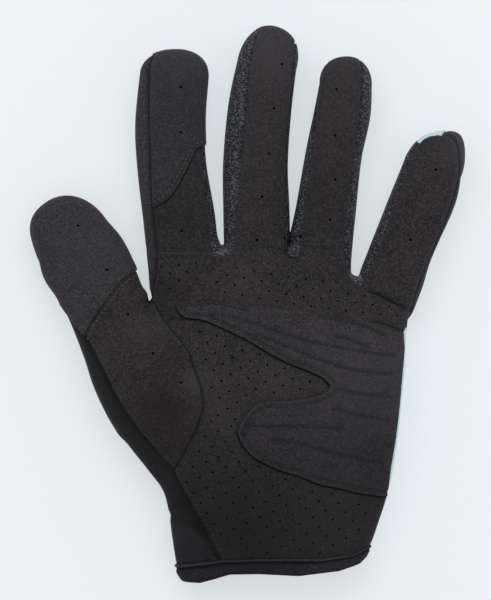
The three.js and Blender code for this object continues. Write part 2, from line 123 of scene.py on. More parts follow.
def nearest_on(points, line):
    """Row of `line` next to each point, read between its rows, and the distance to it: the foot of
    the perpendicular on each straight stretch, and then the nearest of those feet."""
    start, run = line[:-1], np.diff(line, axis=0)
    away = points[:, None, :2] - start[None, :, :2]
    t = np.clip((away * run[:, :2]).sum(2) / np.maximum((run[:, :2] ** 2).sum(1), 1e-9), 0, 1)
    gap = np.linalg.norm(away - t[..., None] * run[:, :2], axis=2)
    pick = gap.argmin(1)
    each = np.arange(len(points))
    return start[pick] + t[each, pick, None] * run[pick], gap[each, pick]


def finger_line(finger):
    """Centre line with the columns x, y, half, depth, lift and share past the body, run straight on
    past both ends, where the share grows to 2."""
    rows = through(finger["rows"], 61)
    lean = np.radians(finger["lean"])
    ahead = np.array([np.sin(lean), np.cos(lean)]) * 2 * finger["tip"]
    back = rows[0, :2] - rows[1, :2]
    back *= 2 * ROOT_FADE / np.linalg.norm(back)
    first, last = rows[0].copy(), rows[-1].copy()
    first[:2] += back
    last[:2] += ahead
    past = np.zeros(len(rows) + 2)
    past[[0, -1]] = 2
    return np.column_stack([np.vstack([first, rows, last]), past])


FINGER_LINES = [finger_line(finger) for finger in FINGERS.values()]
PALM_TABLE = through(PALM_ROWS, 221)
PALM_END_LINE = through(PALM_END, 121)


def finger_shape(points, line):
    """Distance inside the finger's outline, half width, rise and middle height. The outline's radius
    is 1 where |across / half| ** r + past ** r = 1."""
    place, across = nearest_on(points, line)
    half, depth, lift, past = place[:, 2:].T
    radius = ((across / half) ** TIP_ROUNDNESS + past**TIP_ROUNDNESS) ** (1 / TIP_ROUNDNESS)
    rise = (depth + FLOOR_SINK) / 2
    return (1 - radius) * half, half, rise, lift - FLOOR_SINK + rise


def palm_shape(points):
    """Distance in from the palm's sides and from its finger end, half width, rise and middle
    height, read from the cross row that passes through each point. Each of a few steps towards it
    is the point's miss over PALM_ROW_PITCH."""
    rows = np.arange(len(PALM_TABLE), dtype=float)
    place = np.interp(points[:, 1], PALM_TABLE[:, [1, 3]].mean(1), rows)
    for _ in range(5):
        left_x, left_y, right_x, right_y, depth = (np.interp(place, rows, c) for c in PALM_TABLE.T)
        run_x, run_y = right_x - left_x, right_y - left_y
        share = (points[:, 0] - left_x) * run_x + (points[:, 1] - left_y) * run_y
        share /= run_x**2 + run_y**2
        miss = points[:, 1] - left_y - share * run_y
        place = np.clip(place + miss / PALM_ROW_PITCH, 0, len(rows) - 1)
    half = np.hypot(run_x, run_y) / 2
    side = (1 - np.abs(2 * share - 1)) * half
    end = (np.interp(points[:, 0], *PALM_END_LINE.T) - points[:, 1]) * PALM_END_SLANT
    rise = (depth + FLOOR_SINK) / 2
    return side, end, half, rise, rise - FLOOR_SINK


def bulge(share, squareness):
    """Superellipse height over its edge, at a share of the half width in from the edge."""
    return (1 - (1 - np.clip(share, 0, 1)) ** squareness) ** (1 / squareness)


def inside_by(points, finger=None):
    """Distance inside the whole glove's outline, or inside one finger's: the parts' distances under
    a smooth maximum."""
    if finger is not None:
        return finger_shape(points, FINGER_LINES[finger])[0]
    side, end, *_ = palm_shape(points)
    joined = np.minimum(side, end)
    for line in FINGER_LINES:
        other = finger_shape(points, line)[0]
        blend = np.maximum(CROTCH_FILLET - np.abs(joined - other), 0)
        joined = np.maximum(joined, other) + blend**2 / (4 * CROTCH_FILLET)
    return joined


def form(points, depth=None):
    """Middle height of the glove at plan points and the rise of its skin above and below it. Parts
    join as the tenth root of the sum of their rises ** 10, and their middles as a mean that weighs
    each by exp(how far inside it the point is). `depth` sets the distance inside the outline."""
    side, end, half, rise, middle = palm_shape(points)
    parts = [finger_shape(points, line) for line in FINGER_LINES]
    inside = np.array([np.minimum(side, end)] + [part[0] for part in parts])
    change = (inside_by(points) if depth is None else depth) - inside.max(0)
    palm_end = bulge((end + change) / END_FADE, END_SQUARENESS)
    rises = [rise * bulge((side + change) / half, PALM_SQUARENESS) * palm_end]
    rises += [finger_rise * bulge((finger_in + change) / finger_half, FINGER_SQUARENESS)
              for finger_in, finger_half, finger_rise, _ in parts]
    weight = np.exp((inside - inside.max(0)) / MIDDLE_BLEND)
    middles = np.array([middle] + [part[3] for part in parts])
    joined = (np.array(rises) ** JOIN_POWER).sum(0) ** (1 / JOIN_POWER)
    return (weight * middles).sum(0) / weight.sum(0), joined


# The distance's slope is read over this step, and bounded where it has a ridge, as between fingers
SLOPE_STEP = 0.05
LEAST_SLOPE = 0.2
LONGEST_STEP = 1.25


def slope_in(points, finger=None):
    """Step that takes a point one millimetre further inside the outline: the slope of the distance,
    by central differences, over its square."""
    dx, dy = np.array([[SLOPE_STEP, 0]]), np.array([[0, SLOPE_STEP]])
    slope = np.column_stack([inside_by(points + dx, finger) - inside_by(points - dx, finger),
                             inside_by(points + dy, finger) - inside_by(points - dy, finger)])
    slope /= 2 * SLOPE_STEP
    steep = np.maximum(np.linalg.norm(slope, axis=1, keepdims=True), LEAST_SLOPE)
    return slope / steep * np.minimum(1 / steep, LONGEST_STEP)


# The glove's outline, as one line of points with the direction inwards at each


def evenly(line, spacing):
    """The same line with points at even distances along it."""
    run = np.concatenate([[0], np.cumsum(np.linalg.norm(np.diff(line, axis=0), axis=1))])
    count = max(int(run[-1] / spacing) + 1, 2)
    at = np.linspace(0, run[-1], count)
    return np.column_stack([np.interp(at, run, c) for c in line.T])


def finger_sides(finger):
    """Outline of one finger alone: up its left side, round the tip and down its right side."""
    rows = through(finger["rows"], 41)
    along = np.gradient(rows[:, :2], axis=0)
    along /= np.linalg.norm(along, axis=1, keepdims=True)
    across = np.column_stack([along[:, 1], -along[:, 0]])
    lean = np.radians(finger["lean"])
    ahead, aside = np.array([np.sin(lean), np.cos(lean)]), np.array([np.cos(lean), -np.sin(lean)])
    turn = np.linspace(np.pi, 0, 41)[1:-1, None]
    power = 2 / TIP_ROUNDNESS
    tip = rows[-1, :2] + aside * rows[-1, 2] * np.sign(np.cos(turn)) * np.abs(np.cos(turn)) ** power \
        + ahead * finger["tip"] * np.sin(turn) ** power
    reach = across * rows[:, 2:3]
    return np.vstack([(rows[:, :2] - reach)[:-3], tip, (rows[:, :2] + reach)[:-3][::-1]])


# The palm's sides run up to these places, where the thumb and the little finger begin. What lies
# deeper than OVERLAP inside another part isn't outline
THUMB_START, LITTLE_START = -50.5, -10
OVERLAP = 0.9


def glove_outline():
    """The glove's whole outline from the cuff's thumb side round the fingers to its other side: the
    parts' outlines in order, without what lies inside, drawn onto the zero line of inside_by."""
    left, right = PALM_TABLE[:, :2], PALM_TABLE[:, 2:4]
    parts = [finger_sides(FINGERS[name]) for name in ("thumb", "index", "middle", "ring", "little")]
    line = np.vstack([left[left[:, 1] < THUMB_START], *parts, right[right[:, 1] < LITTLE_START][::-1]])
    line = line[inside_by(line) < OVERLAP]
    for spacing in (1.0, 0.8, 0.7, 0.7):
        line = evenly(line, spacing)
        for _ in range(4):
            line = line - slope_in(line) * inside_by(line)[:, None]
    return line


def evened_out(values, rounds):
    """The values, each but the first and last made (before + 2 own + after) / 4, several times."""
    for _ in range(rounds):
        values[1:-1] = (values[:-2] + 2 * values[1:-1] + values[2:]) / 4
    return values


# The outline bends right at a fingertip, by less than MOST_RIGHT from point to point, and left,
# however sharply, in a crotch
MOST_RIGHT = np.radians(100)
FAN_STEP = np.radians(7)


def fanned(line):
    """The line and its direction at each point, as an angle that goes on evenly past a full turn.
    Where it turns by more than FAN_STEP, as in the crotches, points in between fan it out."""
    along = evened_out(np.gradient(line, axis=0), 2)
    turn = np.arctan2(along[:, 1], along[:, 0])
    bends = (np.diff(turn) + MOST_RIGHT) % (2 * np.pi) - MOST_RIGHT
    turn = turn[0] + np.concatenate([[0], np.cumsum(bends)])
    fans = np.maximum(np.ceil(np.abs(np.diff(turn)) / FAN_STEP), 1).astype(int)
    first_of = np.repeat(np.cumsum(fans) - fans, fans)
    past = (np.arange(fans.sum()) - first_of) / np.repeat(fans, fans)
    place = np.append(np.repeat(np.arange(len(fans)), fans) + past, len(fans))
    number = np.arange(len(turn))
    return np.column_stack([np.interp(place, number, c) for c in line.T]), np.interp(place, number, turn)


OUTLINE, TURN = fanned(glove_outline())
INWARD = np.column_stack([np.sin(TURN), -np.cos(TURN)])

# How far in from the outline a pattern begins to roll over the edge, the section that it rolls on,
# the flat length that carries the section on past its ends, and the row of it at the outline
ROLL_START = 3.0
EDGE_HALF, EDGE_RISE = 12.0, 8.0
EDGE_ON = 60
EDGE_ROW = 400


def edge_roll():
    """Run along the skin, distance inside the outline, and the run at the outline itself, for the
    section d = half (1 - cos ** (2 / n)), h = rise sin ** (2 / n), carried on flat past its ends."""
    power = 2 / FINGER_SQUARENESS
    start = np.arccos((1 - ROLL_START / EDGE_HALF) ** (1 / power))
    turn = np.linspace(start, -start, 2 * EDGE_ROW + 1)
    depth = EDGE_HALF * (1 - np.cos(turn) ** power)
    height = EDGE_RISE * np.sign(turn) * np.abs(np.sin(turn)) ** power
    run = np.concatenate([[0], np.cumsum(np.hypot(np.diff(depth), np.diff(height)))])
    return np.append(run, run[-1] + EDGE_ON), np.append(depth, ROLL_START + EDGE_ON), run[EDGE_ROW]


ROLL_RUN, ROLL_DEPTH, EDGE_RUN = edge_roll()


def pattern_distance(depth, facing=1):
    """Distance along the pattern from the outline of a place that lies `depth` inside it in plan,
    on the near side of the glove or, with facing -1, past its edge on the other side."""
    if facing < 0:
        return ROLL_START - np.interp(depth, ROLL_DEPTH[EDGE_ROW:], ROLL_RUN[EDGE_ROW:])
    run = np.interp(depth, ROLL_DEPTH[EDGE_ROW::-1], ROLL_RUN[EDGE_ROW::-1])
    return np.where(depth > ROLL_START, depth, ROLL_START - run)


def plan_depth(run):
    """Plan distance inside the outline, and the side, of a place at a distance along the pattern."""
    depth = np.where(run > ROLL_START, run, np.interp(ROLL_START - run, ROLL_RUN, ROLL_DEPTH))
    return depth, np.where(ROLL_START - run <= EDGE_RUN, 1, -1)


def rolled(flat, finger=None):
    """Plan point, plan distance inside the outline and side (1 near, -1 past the edge) of pattern
    points: those within ROLL_START of the outline roll over it along the skin."""
    inside = inside_by(flat, finger)
    depth, side = plan_depth(inside)
    near = inside < ROLL_START
    plan = flat.copy()
    if near.any():
        plan[near] += slope_in(flat[near], finger) * (depth - inside)[near, None]
    return plan, depth, np.where(near, side, 1.0)


CROTCH_BLEND = 3.0


def lay_on(flat, facing=1, finger=None, crotch=None):
    """Pattern points on the form, straight above or below the plan and rolled over the edge. A
    panel of one finger rolls over that finger's edge alone: all of it, or what lies past `crotch`."""
    plan, depth, side = rolled(flat, finger if crotch is None else None)
    if crotch is not None:
        own = smooth((flat[:, 1] - crotch) / CROTCH_BLEND)
        own_plan, own_depth, own_side = rolled(flat, finger)
        plan += own[:, None] * (own_plan - plan)
        depth += own * (own_depth - depth)
        side = np.where(own > 0.5, own_side, side)
    middle, rise = form(plan, depth)
    return np.column_stack([plan, np.maximum(middle + facing * side * rise, 0)])


# Lines on a pattern, and patterns filled with triangles


def in_batches(job, points, size=3000):
    """The job's results for many points, worked out a batch at a time."""
    return np.concatenate([job(points[i:i + size]) for i in range(0, max(len(points), 1), size)])


def distance_to(points, line):
    """Distance from each point to the nearest stretch of a line."""
    return in_batches(lambda some: nearest_on(some, line)[1], points, 1500)


def closed(line):
    """The line with its first point again at its end."""
    return np.vstack([line, line[:1]])


def within(points, ring):
    """True where a point lies inside a closed outline: the outline crosses the ray to its right an
    odd number of times."""
    a, b = ring, np.roll(ring, -1, axis=0)

    def crossings(some):
        x, y = some[:, :1], some[:, 1:]
        spans = (a[:, 1] > y) != (b[:, 1] > y)
        steep = np.where(np.abs(b[:, 1] - a[:, 1]) < 1e-9, 1e-9, b[:, 1] - a[:, 1])
        at = a[:, 0] + (y - a[:, 1]) * (b[:, 0] - a[:, 0]) / steep
        return (spans & (x < at)).sum(1) % 2 == 1

    return in_batches(crossings, points)


def smooth(share):
    """Smooth step from 0 to 1."""
    share = np.clip(share, 0, 1)
    return share * share * (3 - 2 * share)


def seam(points, finger=None):
    """A smooth line on the pattern through a few points of the plan: what lies close to the outline
    in plan is further out on the pattern, which rolls down there."""
    line = evenly(through(points, 12 * (len(points) - 1) + 1), 0.8)
    inside = inside_by(line, finger)
    near = (inside < ROLL_START) & (inside > -1)
    if near.any():
        out = pattern_distance(np.maximum(inside[near], 0)) - inside[near]
        line[near] += slope_in(line[near], finger) * out[:, None]
    return line


def drawn(*lines):
    """One closed outline through several lines end to end, turning anticlockwise, with its points
    about 0.8 mm apart."""
    ring = closed(np.vstack([np.asarray(line, float) for line in lines]))
    ring = ring[np.concatenate([[True], np.linalg.norm(np.diff(ring, axis=0), axis=1) > 0.02])]
    ring = evenly(ring, 0.8)[:-1]
    turned = (ring[:, 0] * np.roll(ring[:, 1], -1) - np.roll(ring[:, 0], -1) * ring[:, 1]).sum()
    return ring if turned > 0 else ring[::-1]


def place_on_outline(point):
    """Number of the outline's point next to a plan point."""
    return int(np.linalg.norm(OUTLINE - np.asarray(point), axis=1).argmin())


def stretch_of(start, end):
    """Numbers of the outline's points from one place to another."""
    first, last = place_on_outline(start), place_on_outline(end)
    step = 1 if last > first else -1
    return np.arange(first, last + step, step)


def evened(values, count):
    """A few values read evenly at `count` places."""
    return np.interp(np.linspace(0, 1, count), np.linspace(0, 1, np.size(values)), np.atleast_1d(values))


def around(start, end, past):
    """The stretch of the outline between two places, moved out on the pattern by `past`, which may
    change evenly along it."""
    pick = stretch_of(start, end)
    return OUTLINE[pick] - INWARD[pick] * evened(past, len(pick))[:, None]


def beside(line, distance):
    """The line moved to the left of its direction."""
    along = np.gradient(line, axis=0)
    along /= np.linalg.norm(along, axis=1, keepdims=True)
    return line + np.column_stack([-along[:, 1], along[:, 0]]) * distance


# Points of a filled panel: beside a narrow groove, in rows at these distances and clear of the rest
# of the lattice by the margin, and round a punched hole
GROOVE_ROWS = (-0.7, -0.35, 0, 0.35, 0.7)
GROOVE_MARGIN = 1.1
HOLE_SIDES = 10
HOLE_MARGIN = 0.4


def filled(ring, holes=(), spacing=1.25, rows=(0.35, 0.8, 1.35), traces=()):
    """A flat panel's points and triangles: its outline, rows of points just inside it and along its
    narrow grooves, ten-sided holes (x, y, radius), and a triangular lattice in between. Each
    triangle's circle holds no other point that its corners can see past the outlines."""
    side = np.roll(ring, -1, axis=0) - np.roll(ring, 1, axis=0)
    side /= np.linalg.norm(side, axis=1, keepdims=True)
    left = np.column_stack([-side[:, 1], side[:, 0]])
    rim = closed(ring)
    inner, inner_traces = [], []
    for row in rows:
        line = ring + left * row
        inner.append(line[(distance_to(line, rim) > 0.85 * row) & within(line, ring)])
    low, high = ring.min(0), ring.max(0)
    x, y = np.meshgrid(np.arange(low[0], high[0], spacing), np.arange(low[1], high[1], spacing * 0.866))
    x[1::2] += spacing / 2
    lattice = np.column_stack([x.ravel(), y.ravel()])
    lattice = lattice[within(lattice, ring)]
    lattice = lattice[distance_to(lattice, rim) > rows[-1] + 0.45 * spacing]
    for trace in traces:
        trace = evenly(trace, 0.7)
        lattice = lattice[distance_to(lattice, trace) > GROOVE_MARGIN]
        beads = np.vstack([beside(trace, step) for step in GROOVE_ROWS])
        beads = beads[within(beads, ring)]
        beads = beads[distance_to(beads, rim) > rows[-1] + 0.3]
        if inner_traces:
            beads = beads[distance_to(beads, np.vstack(inner_traces)) > 0.6]
        inner_traces.append(trace)
        inner.append(beads)
    inner.append(lattice)
    inner = np.vstack(inner)
    holes = np.asarray(holes, float).reshape(-1, 3)

    def clearance(some):
        return (np.linalg.norm(some[:, None] - holes[:, :2], axis=2) - holes[:, 2]).min(1)

    if len(holes):
        inner = inner[in_batches(clearance, inner) > HOLE_MARGIN]
    turn = np.linspace(0, 2 * np.pi, HOLE_SIDES, endpoint=False)
    circle = np.column_stack([np.cos(turn), np.sin(turn)])
    rims = (holes[:, None, :2] + circle * holes[:, None, 2:]).reshape(-1, 2)
    loops = len(ring) + np.arange(len(rims)).reshape(-1, HOLE_SIDES)
    edges = np.column_stack([loops.ravel(), np.roll(loops, -1, axis=1).ravel()])
    points = [Vector(p) for p in np.vstack([ring, rims, inner])]
    made = delaunay_2d_cdt(points, edges.tolist(), [list(range(len(ring)))], 1, 1e-5)
    flat, faces = np.array([(v.x, v.y) for v in made[0]]), np.array(made[2])
    if len(holes):
        faces = faces[in_batches(clearance, flat[faces].mean(1)) > -0.05]
    return flat, faces


# Meshes of the laid patterns: their small departures from the even form, and their values


def outward(points, faces):
    """Unit normals of the vertices: the sum of the normals of the faces round each, by area."""
    a, b, c = (points[faces[:, k]] for k in range(3))
    normal = np.cross(b - a, c - a)
    total = np.zeros_like(points)
    for k in range(3):
        np.add.at(total, faces[:, k], normal)
    return total / np.maximum(np.linalg.norm(total, axis=1, keepdims=True), 1e-12)


# Where the laid glove was pushed a little out of its even form: x, y, reach, shift in x, shift in y
TUGS = [(74.0, 69.3, 5.0, 0.0, -0.4), (86.0, 66.5, 6.5, 0.9, 2.3), (42.8, 12.6, 2.6, 0.3, -0.9),
        (84.5, 45.0, 13.0, 1.2, 0.0), (-86.5, 23.0, 8.0, 1.2, 0.0), (-79.0, 4.0, 5.0, 0.7, 0.0),
        (65.0, -3.5, 5.0, 0.8, 0.0), (49.5, -101.0, 4.0, -1.0, 0.3), (-42.4, 3.4, 2.8, 1.5, 0.3),
        (-41.4, 0.4, 2.0, 1.0, 0.5)]


def tugged(points):
    """Points moved by every tug, which fades as exp(-(distance / reach) ** 2)."""
    moved = points.copy()
    for x, y, reach, shift_x, shift_y in TUGS:
        share = np.exp(-((points[:, 0] - x) ** 2 + (points[:, 1] - y) ** 2) / reach**2)
        moved[:, 0] += share * shift_x
        moved[:, 1] += share * shift_y
    return moved


# Where the surface is painted paler, or with a negative amount darker: x, y, reach, amount
# Some are rubbed or dirty places; others are painted highlights and painted shade on folds and seams
DIRT_WEAR_AND_PAINTED_LIGHT = [
    (46.0, -30.0, 24.0, 0.28), (-12.0, -44.0, 13.0, 0.28), (34.0, -88.0, 18.0, 0.3),
    (-6.0, -86.0, 16.0, -0.5), (-30.0, -48.0, 14.0, -0.4), (28.0, 44.0, 22.0, -0.35),
    (10.0, 100.0, 10.0, 0.35), (-28.0, 32.0, 14.0, -0.3), (6.0, -98.0, 14.0, -0.35),
    (-25.5, -89.3, 1.3, 0.35), (-22.5, -90.6, 1.3, 0.5), (-19.8, -91.8, 1.3, 0.35),
    (-22.0, -99.0, 9.0, 0.25), (-30.0, -92.0, 5.0, 0.4), (-24.0, -79.0, 5.0, -0.7),
    (-18.0, -88.0, 4.0, -0.9), (86.0, 62.0, 9.0, 0.4), (-62.0, 22.0, 16.0, 0.25),
    (-22.0, -31.0, 6.0, 0.5), (-34.0, -38.0, 7.0, -0.35), (-42.0, -10.0, 7.0, 0.3),
    (-29.0, -22.0, 6.0, -0.3), (-33.0, 6.0, 7.0, -0.6), (-2.0, 8.0, 9.0, 0.2),
    (36.0, 34.0, 10.0, 0.1), (62.0, 20.0, 8.0, 0.05), (52.0, -60.0, 8.0, -0.2),
    (12.0, -32.0, 9.0, 0.25), (-27.0, 80.0, 10.0, -0.2), (-58.0, -22.0, 6.0, 0.15)]


UV_UNIT = 100


def set_values(mesh, name, values):
    """A number for each vertex, under a name that the materials read."""
    mesh.attributes.new(name, "FLOAT", "POINT").data.foreach_set("value", values.astype(np.float32))


def add_mesh(name, points, faces, material, replaces=(), flat=None, wall=0.0, sharp=50, wear_and_painted_light=None):
    """A piece of the glove as one mesh in metres, with `flat` as its UV map in decimetres. `wall`
    gives the sheet its thickness inwards. `wear_and_painted_light` says where it is pale with wear along an
    edge, painted pale as a highlight, or painted dark as shade in a groove or beside a seam; `tone`, the
    sum of all the listed spots, where it is painted paler or darker for dirt and wear and for
    highlight and shade; and `inner` marks the inner face."""
    tone = sum(amount * np.exp(-((points[:, 0] - x) ** 2 + (points[:, 1] - y) ** 2) / reach**2)
               for x, y, reach, amount in DIRT_WEAR_AND_PAINTED_LIGHT)
    name += "_cloth"
    mesh = bpy.data.meshes.new(name)
    mesh.from_pydata(((tugged(points) + SHIFT) * MM).tolist(), [], faces.tolist())
    mesh.update()
    if flat is not None:
        corner = np.zeros(len(mesh.loops), int)
        mesh.loops.foreach_get("vertex_index", corner)
        places = (flat[corner] / UV_UNIT).astype(np.float32)
        mesh.uv_layers.new(name="pattern").uv.foreach_set("vector", places.ravel())
    if wear_and_painted_light is not None:
        set_values(mesh, "wear_and_painted_light", wear_and_painted_light)
    set_values(mesh, "tone", tone)
    piece = bpy.data.objects.new(name, mesh)
    bpy.context.scene.collection.objects.link(piece)
    if wall:
        solid = piece.modifiers.new("wall", "SOLIDIFY")
        solid.thickness, solid.offset = wall * MM, -1
        thick = bpy.data.meshes.new_from_object(piece.evaluated_get(bpy.context.evaluated_depsgraph_get()))
        piece.modifiers.clear()
        piece.data = thick
        thick.name = name
        set_values(thick, "inner", np.arange(len(thick.vertices)) >= len(points))
    piece.data.materials.clear()
    piece.data.materials.append(material)
    piece.data.polygons.foreach_set("use_smooth", np.ones(len(piece.data.polygons), bool))
    piece.data.set_sharp_from_angle(angle=np.radians(sharp))
    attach(piece, "root")
    if replaces:
        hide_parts(*replaces)
    return piece


# The soft folds that the lying glove keeps: rows of plan points, depth and width of the hollow
FOLDS = [
    (seam([(-12, 17), (-20, 10.5), (-28, 1.5)]), 0.9, 2.6),
    (seam([(46, 7), (55.2, 2.5), (65, -2.8)]), 0.9, 1.3),
    (seam([(-38.5, 1.5), (-35, -3), (-31.5, -6)]), 1.2, 2.6),
    (seam([(-29.8, -84), (-24.6, -87.4), (-18, -93.5)]), 0.7, 1.6),
    (seam([(-62, -38), (-40, -45), (-22, -43)]), 0.35, 5.0),
    (seam([(-16, 26), (-26, 31), (-38, 30)]), 0.3, 3.5),
]


def hollows(flat, lines):
    """Rows of (line, depth, width) as hollows: the sum of -depth exp(-(distance / width) ** 2)."""
    lift = np.zeros(len(flat))
    for line, depth, width in lines:
        low, high = line.min(0) - 3 * width, line.max(0) + 3 * width
        near = ((flat > low) & (flat < high)).all(1)
        if near.any():
            lift[near] -= depth * np.exp(-((distance_to(flat[near], line) / width) ** 2))
    return lift


WAVE_HEIGHT = 0.07


def handled(flat):
    """How the laid glove departs from its even form, along the skin's normal: its folds, and slow
    waves as a sum of sines."""
    x, y = flat.T
    waves = np.sin(x / 5.3 + y / 9.1) + np.sin(x / 7.9 - y / 6.2 + 1.3) + np.sin(y / 4.4 + x / 13 + 0.6)
    return WAVE_HEIGHT * waves + hollows(flat, FOLDS)


SKIN_STEP = 0.3


def on_skin(flat, out=0.0, finger=None, crotch=None):
    """Places on a laid panel at pattern points, `out` above its form, and the unit vectors out of
    it: the cross product of the steps along the skin to both sides of each point."""
    ahead, aside = np.array([[0, SKIN_STEP]]), np.array([[SKIN_STEP, 0]])
    run_x = lay_on(flat + aside, 1, finger, crotch) - lay_on(flat - aside, 1, finger, crotch)
    run_y = lay_on(flat + ahead, 1, finger, crotch) - lay_on(flat - ahead, 1, finger, crotch)
    normal = np.cross(run_x, run_y)
    normal /= np.linalg.norm(normal, axis=1, keepdims=True)
    return lay_on(flat, 1, finger, crotch) + normal * (out + handled(flat))[:, None], normal


# A stitch: its thread, the distance from stitch to stitch, its length, the arch that it makes, how
# deep its ends lie, and how far inside the outline a row of stitches ends
THREAD_RADIUS = 0.2
THREAD_SIDES = 6
STITCH_PITCH = 2.2
STITCH_LENGTH = 1.35
STITCH_SECTIONS = 7
STITCH_ARCH = 0.3
STITCH_SUNK = 0.12
STITCH_MARGIN = 0.8


def stitches(name, rows, material, pitch=STITCH_PITCH):
    """Rows of stitches as one mesh. Each row is a line on the pattern, the height of its groove and
    its panel's finger, and ends a little way inside the glove's outline. A stitch is an arch
    z = h (1 - (2 t) ** 2) of a few sections, whose radius (1 - (2 t) ** 4) ** 0.5 shrinks to almost
    nothing at both ends, where the thread goes into the cloth."""
    t = np.linspace(-0.5, 0.5, STITCH_SECTIONS)
    thick = np.sqrt(np.maximum(1 - (2 * t) ** 4, 0.02))
    arch = STITCH_ARCH * (1 - (2 * t) ** 2) - STITCH_SUNK
    turn = np.linspace(0, 2 * np.pi, THREAD_SIDES, endpoint=False)
    last = (STITCH_SECTIONS - 1) * THREAD_SIDES
    points, faces, count = [], [], 0
    for line, out, finger in rows:
        spots = evenly(line, pitch)
        spots = spots[inside_by(spots, finger) > STITCH_MARGIN]
        along = np.gradient(spots, axis=0)
        along /= np.linalg.norm(along, axis=1, keepdims=True)
        flat = (spots[:, None] + along[:, None] * (t[:, None] * STITCH_LENGTH)).reshape(-1, 2)
        laid = in_batches(lambda some: np.stack(on_skin(some, out, finger), axis=1), flat)
        base, normal = laid.swapaxes(0, 1)
        base = base + normal * np.tile(arch, len(spots))[:, None]
        run = np.gradient(base.reshape(-1, STITCH_SECTIONS, 3), axis=1).reshape(-1, 3)
        side = np.cross(run, normal)
        side /= np.linalg.norm(side, axis=1, keepdims=True)
        radius = THREAD_RADIUS * np.tile(thick, len(spots))
        ring = side[:, None] * np.cos(turn)[:, None] + normal[:, None] * np.sin(turn)[:, None]
        points.append((base[:, None] + ring * radius[:, None, None]).reshape(-1, 3))
        i, j, k = np.meshgrid(np.arange(len(spots)), np.arange(STITCH_SECTIONS - 1),
                              np.arange(THREAD_SIDES), indexing="ij")
        section = count + (i * STITCH_SECTIONS + j) * THREAD_SIDES
        a, b = (section + k).ravel(), (section + (k + 1) % THREAD_SIDES).ravel()
        faces += [np.column_stack([a, b, b + THREAD_SIDES]),
                  np.column_stack([a, b + THREAD_SIDES, a + THREAD_SIDES])]
        first = count + np.arange(len(spots)) * (last + THREAD_SIDES)
        for m in range(1, THREAD_SIDES - 1):
            faces.append(np.column_stack([first, first + m + 1, first + m]))
            faces.append(np.column_stack([first + last, first + last + m, first + last + m + 1]))
        count += len(spots) * (last + THREAD_SIDES)
    return add_mesh(name, np.vstack(points), np.vstack(faces), material, sharp=80)


def thread(name, colour):
    """Twisted thread with a slight shine: fine slanting bands."""
    material = new_material(name)
    at = shade(material, "TexCoord", gives="Object")
    twist = shade(material, "TexWave", {"Vector": at, "Scale": 900, "Distortion": 1.0}, "Fac",
                  bands_direction="DIAGONAL")
    tone = blend(material, twist, times(0.6, colour), colour)
    finish_material(material, tone, twist, 0.5, 0.08, Roughness=0.5, Specular_IOR_Level=0.4)
    return material


# How far a laid point may be moved otherwise than its neighbours, and from which y on this counts:
# where a finger's sides go over into its rounded tip, the distance from its edge has a ridge
STRAY = 0.6
STRAY_FROM = 30.0


def settled(points, flat, faces):
    """The laid points, with each that was moved otherwise than its neighbours put to their mean
    shift: shift = (sum of the shifts of the n neighbours) / n."""
    edges = np.vstack([faces[:, [0, 1]], faces[:, [1, 2]], faces[:, [2, 0]]])
    edges = np.vstack([edges, edges[:, ::-1]])
    start = np.column_stack([flat, np.zeros(len(flat))])
    shift = points - start
    for _ in range(5):
        mean = np.zeros_like(shift)
        np.add.at(mean, edges[:, 0], shift[edges[:, 1]])
        mean /= np.bincount(edges[:, 0], minlength=len(flat))[:, None]
        stray = (np.linalg.norm((shift - mean)[:, :2], axis=1) > STRAY) & (flat[:, 1] > STRAY_FROM)
        shift[stray] = mean[stray]
    return start + shift


# The wall of thin suede and of the side cloths, the width over which a panel's edge is rubbed pale,
# how much of its height is left along a flush edge and how far in that reaches, and the width below
# which a groove gets points of its own
WALL = 0.7
WORN_EDGE = 0.55
FLUSH_SHARE = 0.15
FLUSH_REACH = 6
NARROW_GROOVE = 0.8


def panel(name, ring, material, replaces, wall=WALL, out=0.0, dip=0.45, reach=1.0, holes=(),
          spacing=1.25, grooves=(), finger=None, crotch=None, flush=None, edge_worn=0.4):
    """A sewn panel on the palm side: the flat pattern filled, laid on the form, moved out by `out`,
    hollowed by the folds and its own grooves, and turned down by `dip` within `reach` of its edge.
    Along the line `flush` it lies flat on what is under it."""
    traces = [line for line, _, width in grooves if width < NARROW_GROOVE]
    flat, faces = filled(ring, holes, spacing, traces=traces)
    points = settled(in_batches(lambda some: lay_on(some, 1, finger, crotch), flat), flat, faces)
    edge = distance_to(flat, closed(ring))
    lap = np.ones(len(flat))
    if flush is not None:
        lap = FLUSH_SHARE + (1 - FLUSH_SHARE) * smooth(distance_to(flat, flush) / FLUSH_REACH)
    carved = hollows(flat, grooves)
    lift = out * lap - dip * (1 - smooth(edge / reach)) + handled(flat) + carved
    points = points + outward(points, faces) * lift[:, None]
    # Pale with wear along the edge; painted shade in grooves and folds, and painted highlight on raised welts
    wear_and_painted_light = edge_worn * lap * np.exp(-((edge / WORN_EDGE) ** 2))
    wear_and_painted_light = wear_and_painted_light + np.clip(carved, -2, 0) + 2 * np.clip(carved, 0, 1)
    wear_and_painted_light += 0.2 * np.clip(hollows(flat, FOLDS), -1, 0)
    piece = add_mesh(name, points, faces, material, replaces, flat, wall, wear_and_painted_light=wear_and_painted_light)
    return piece


def new_material(name):
    """A material with the usual shader, whose nodes the next functions add to."""
    material = bpy.data.materials.new(name)
    material.use_nodes = True
    return material


def shade(material, kind, takes=None, gives=0, **settings):
    """Output of a new shader node, whose inputs take a number, a colour or another node's output."""
    node = material.node_tree.nodes.new("ShaderNode" + kind)
    for name, value in settings.items():
        setattr(node, name, value)
    for name, value in (takes or {}).items():
        if isinstance(value, bpy.types.NodeSocket):
            material.node_tree.links.new(value, node.inputs[name])
        else:
            node.inputs[name].default_value = value
    return node.outputs[gives]


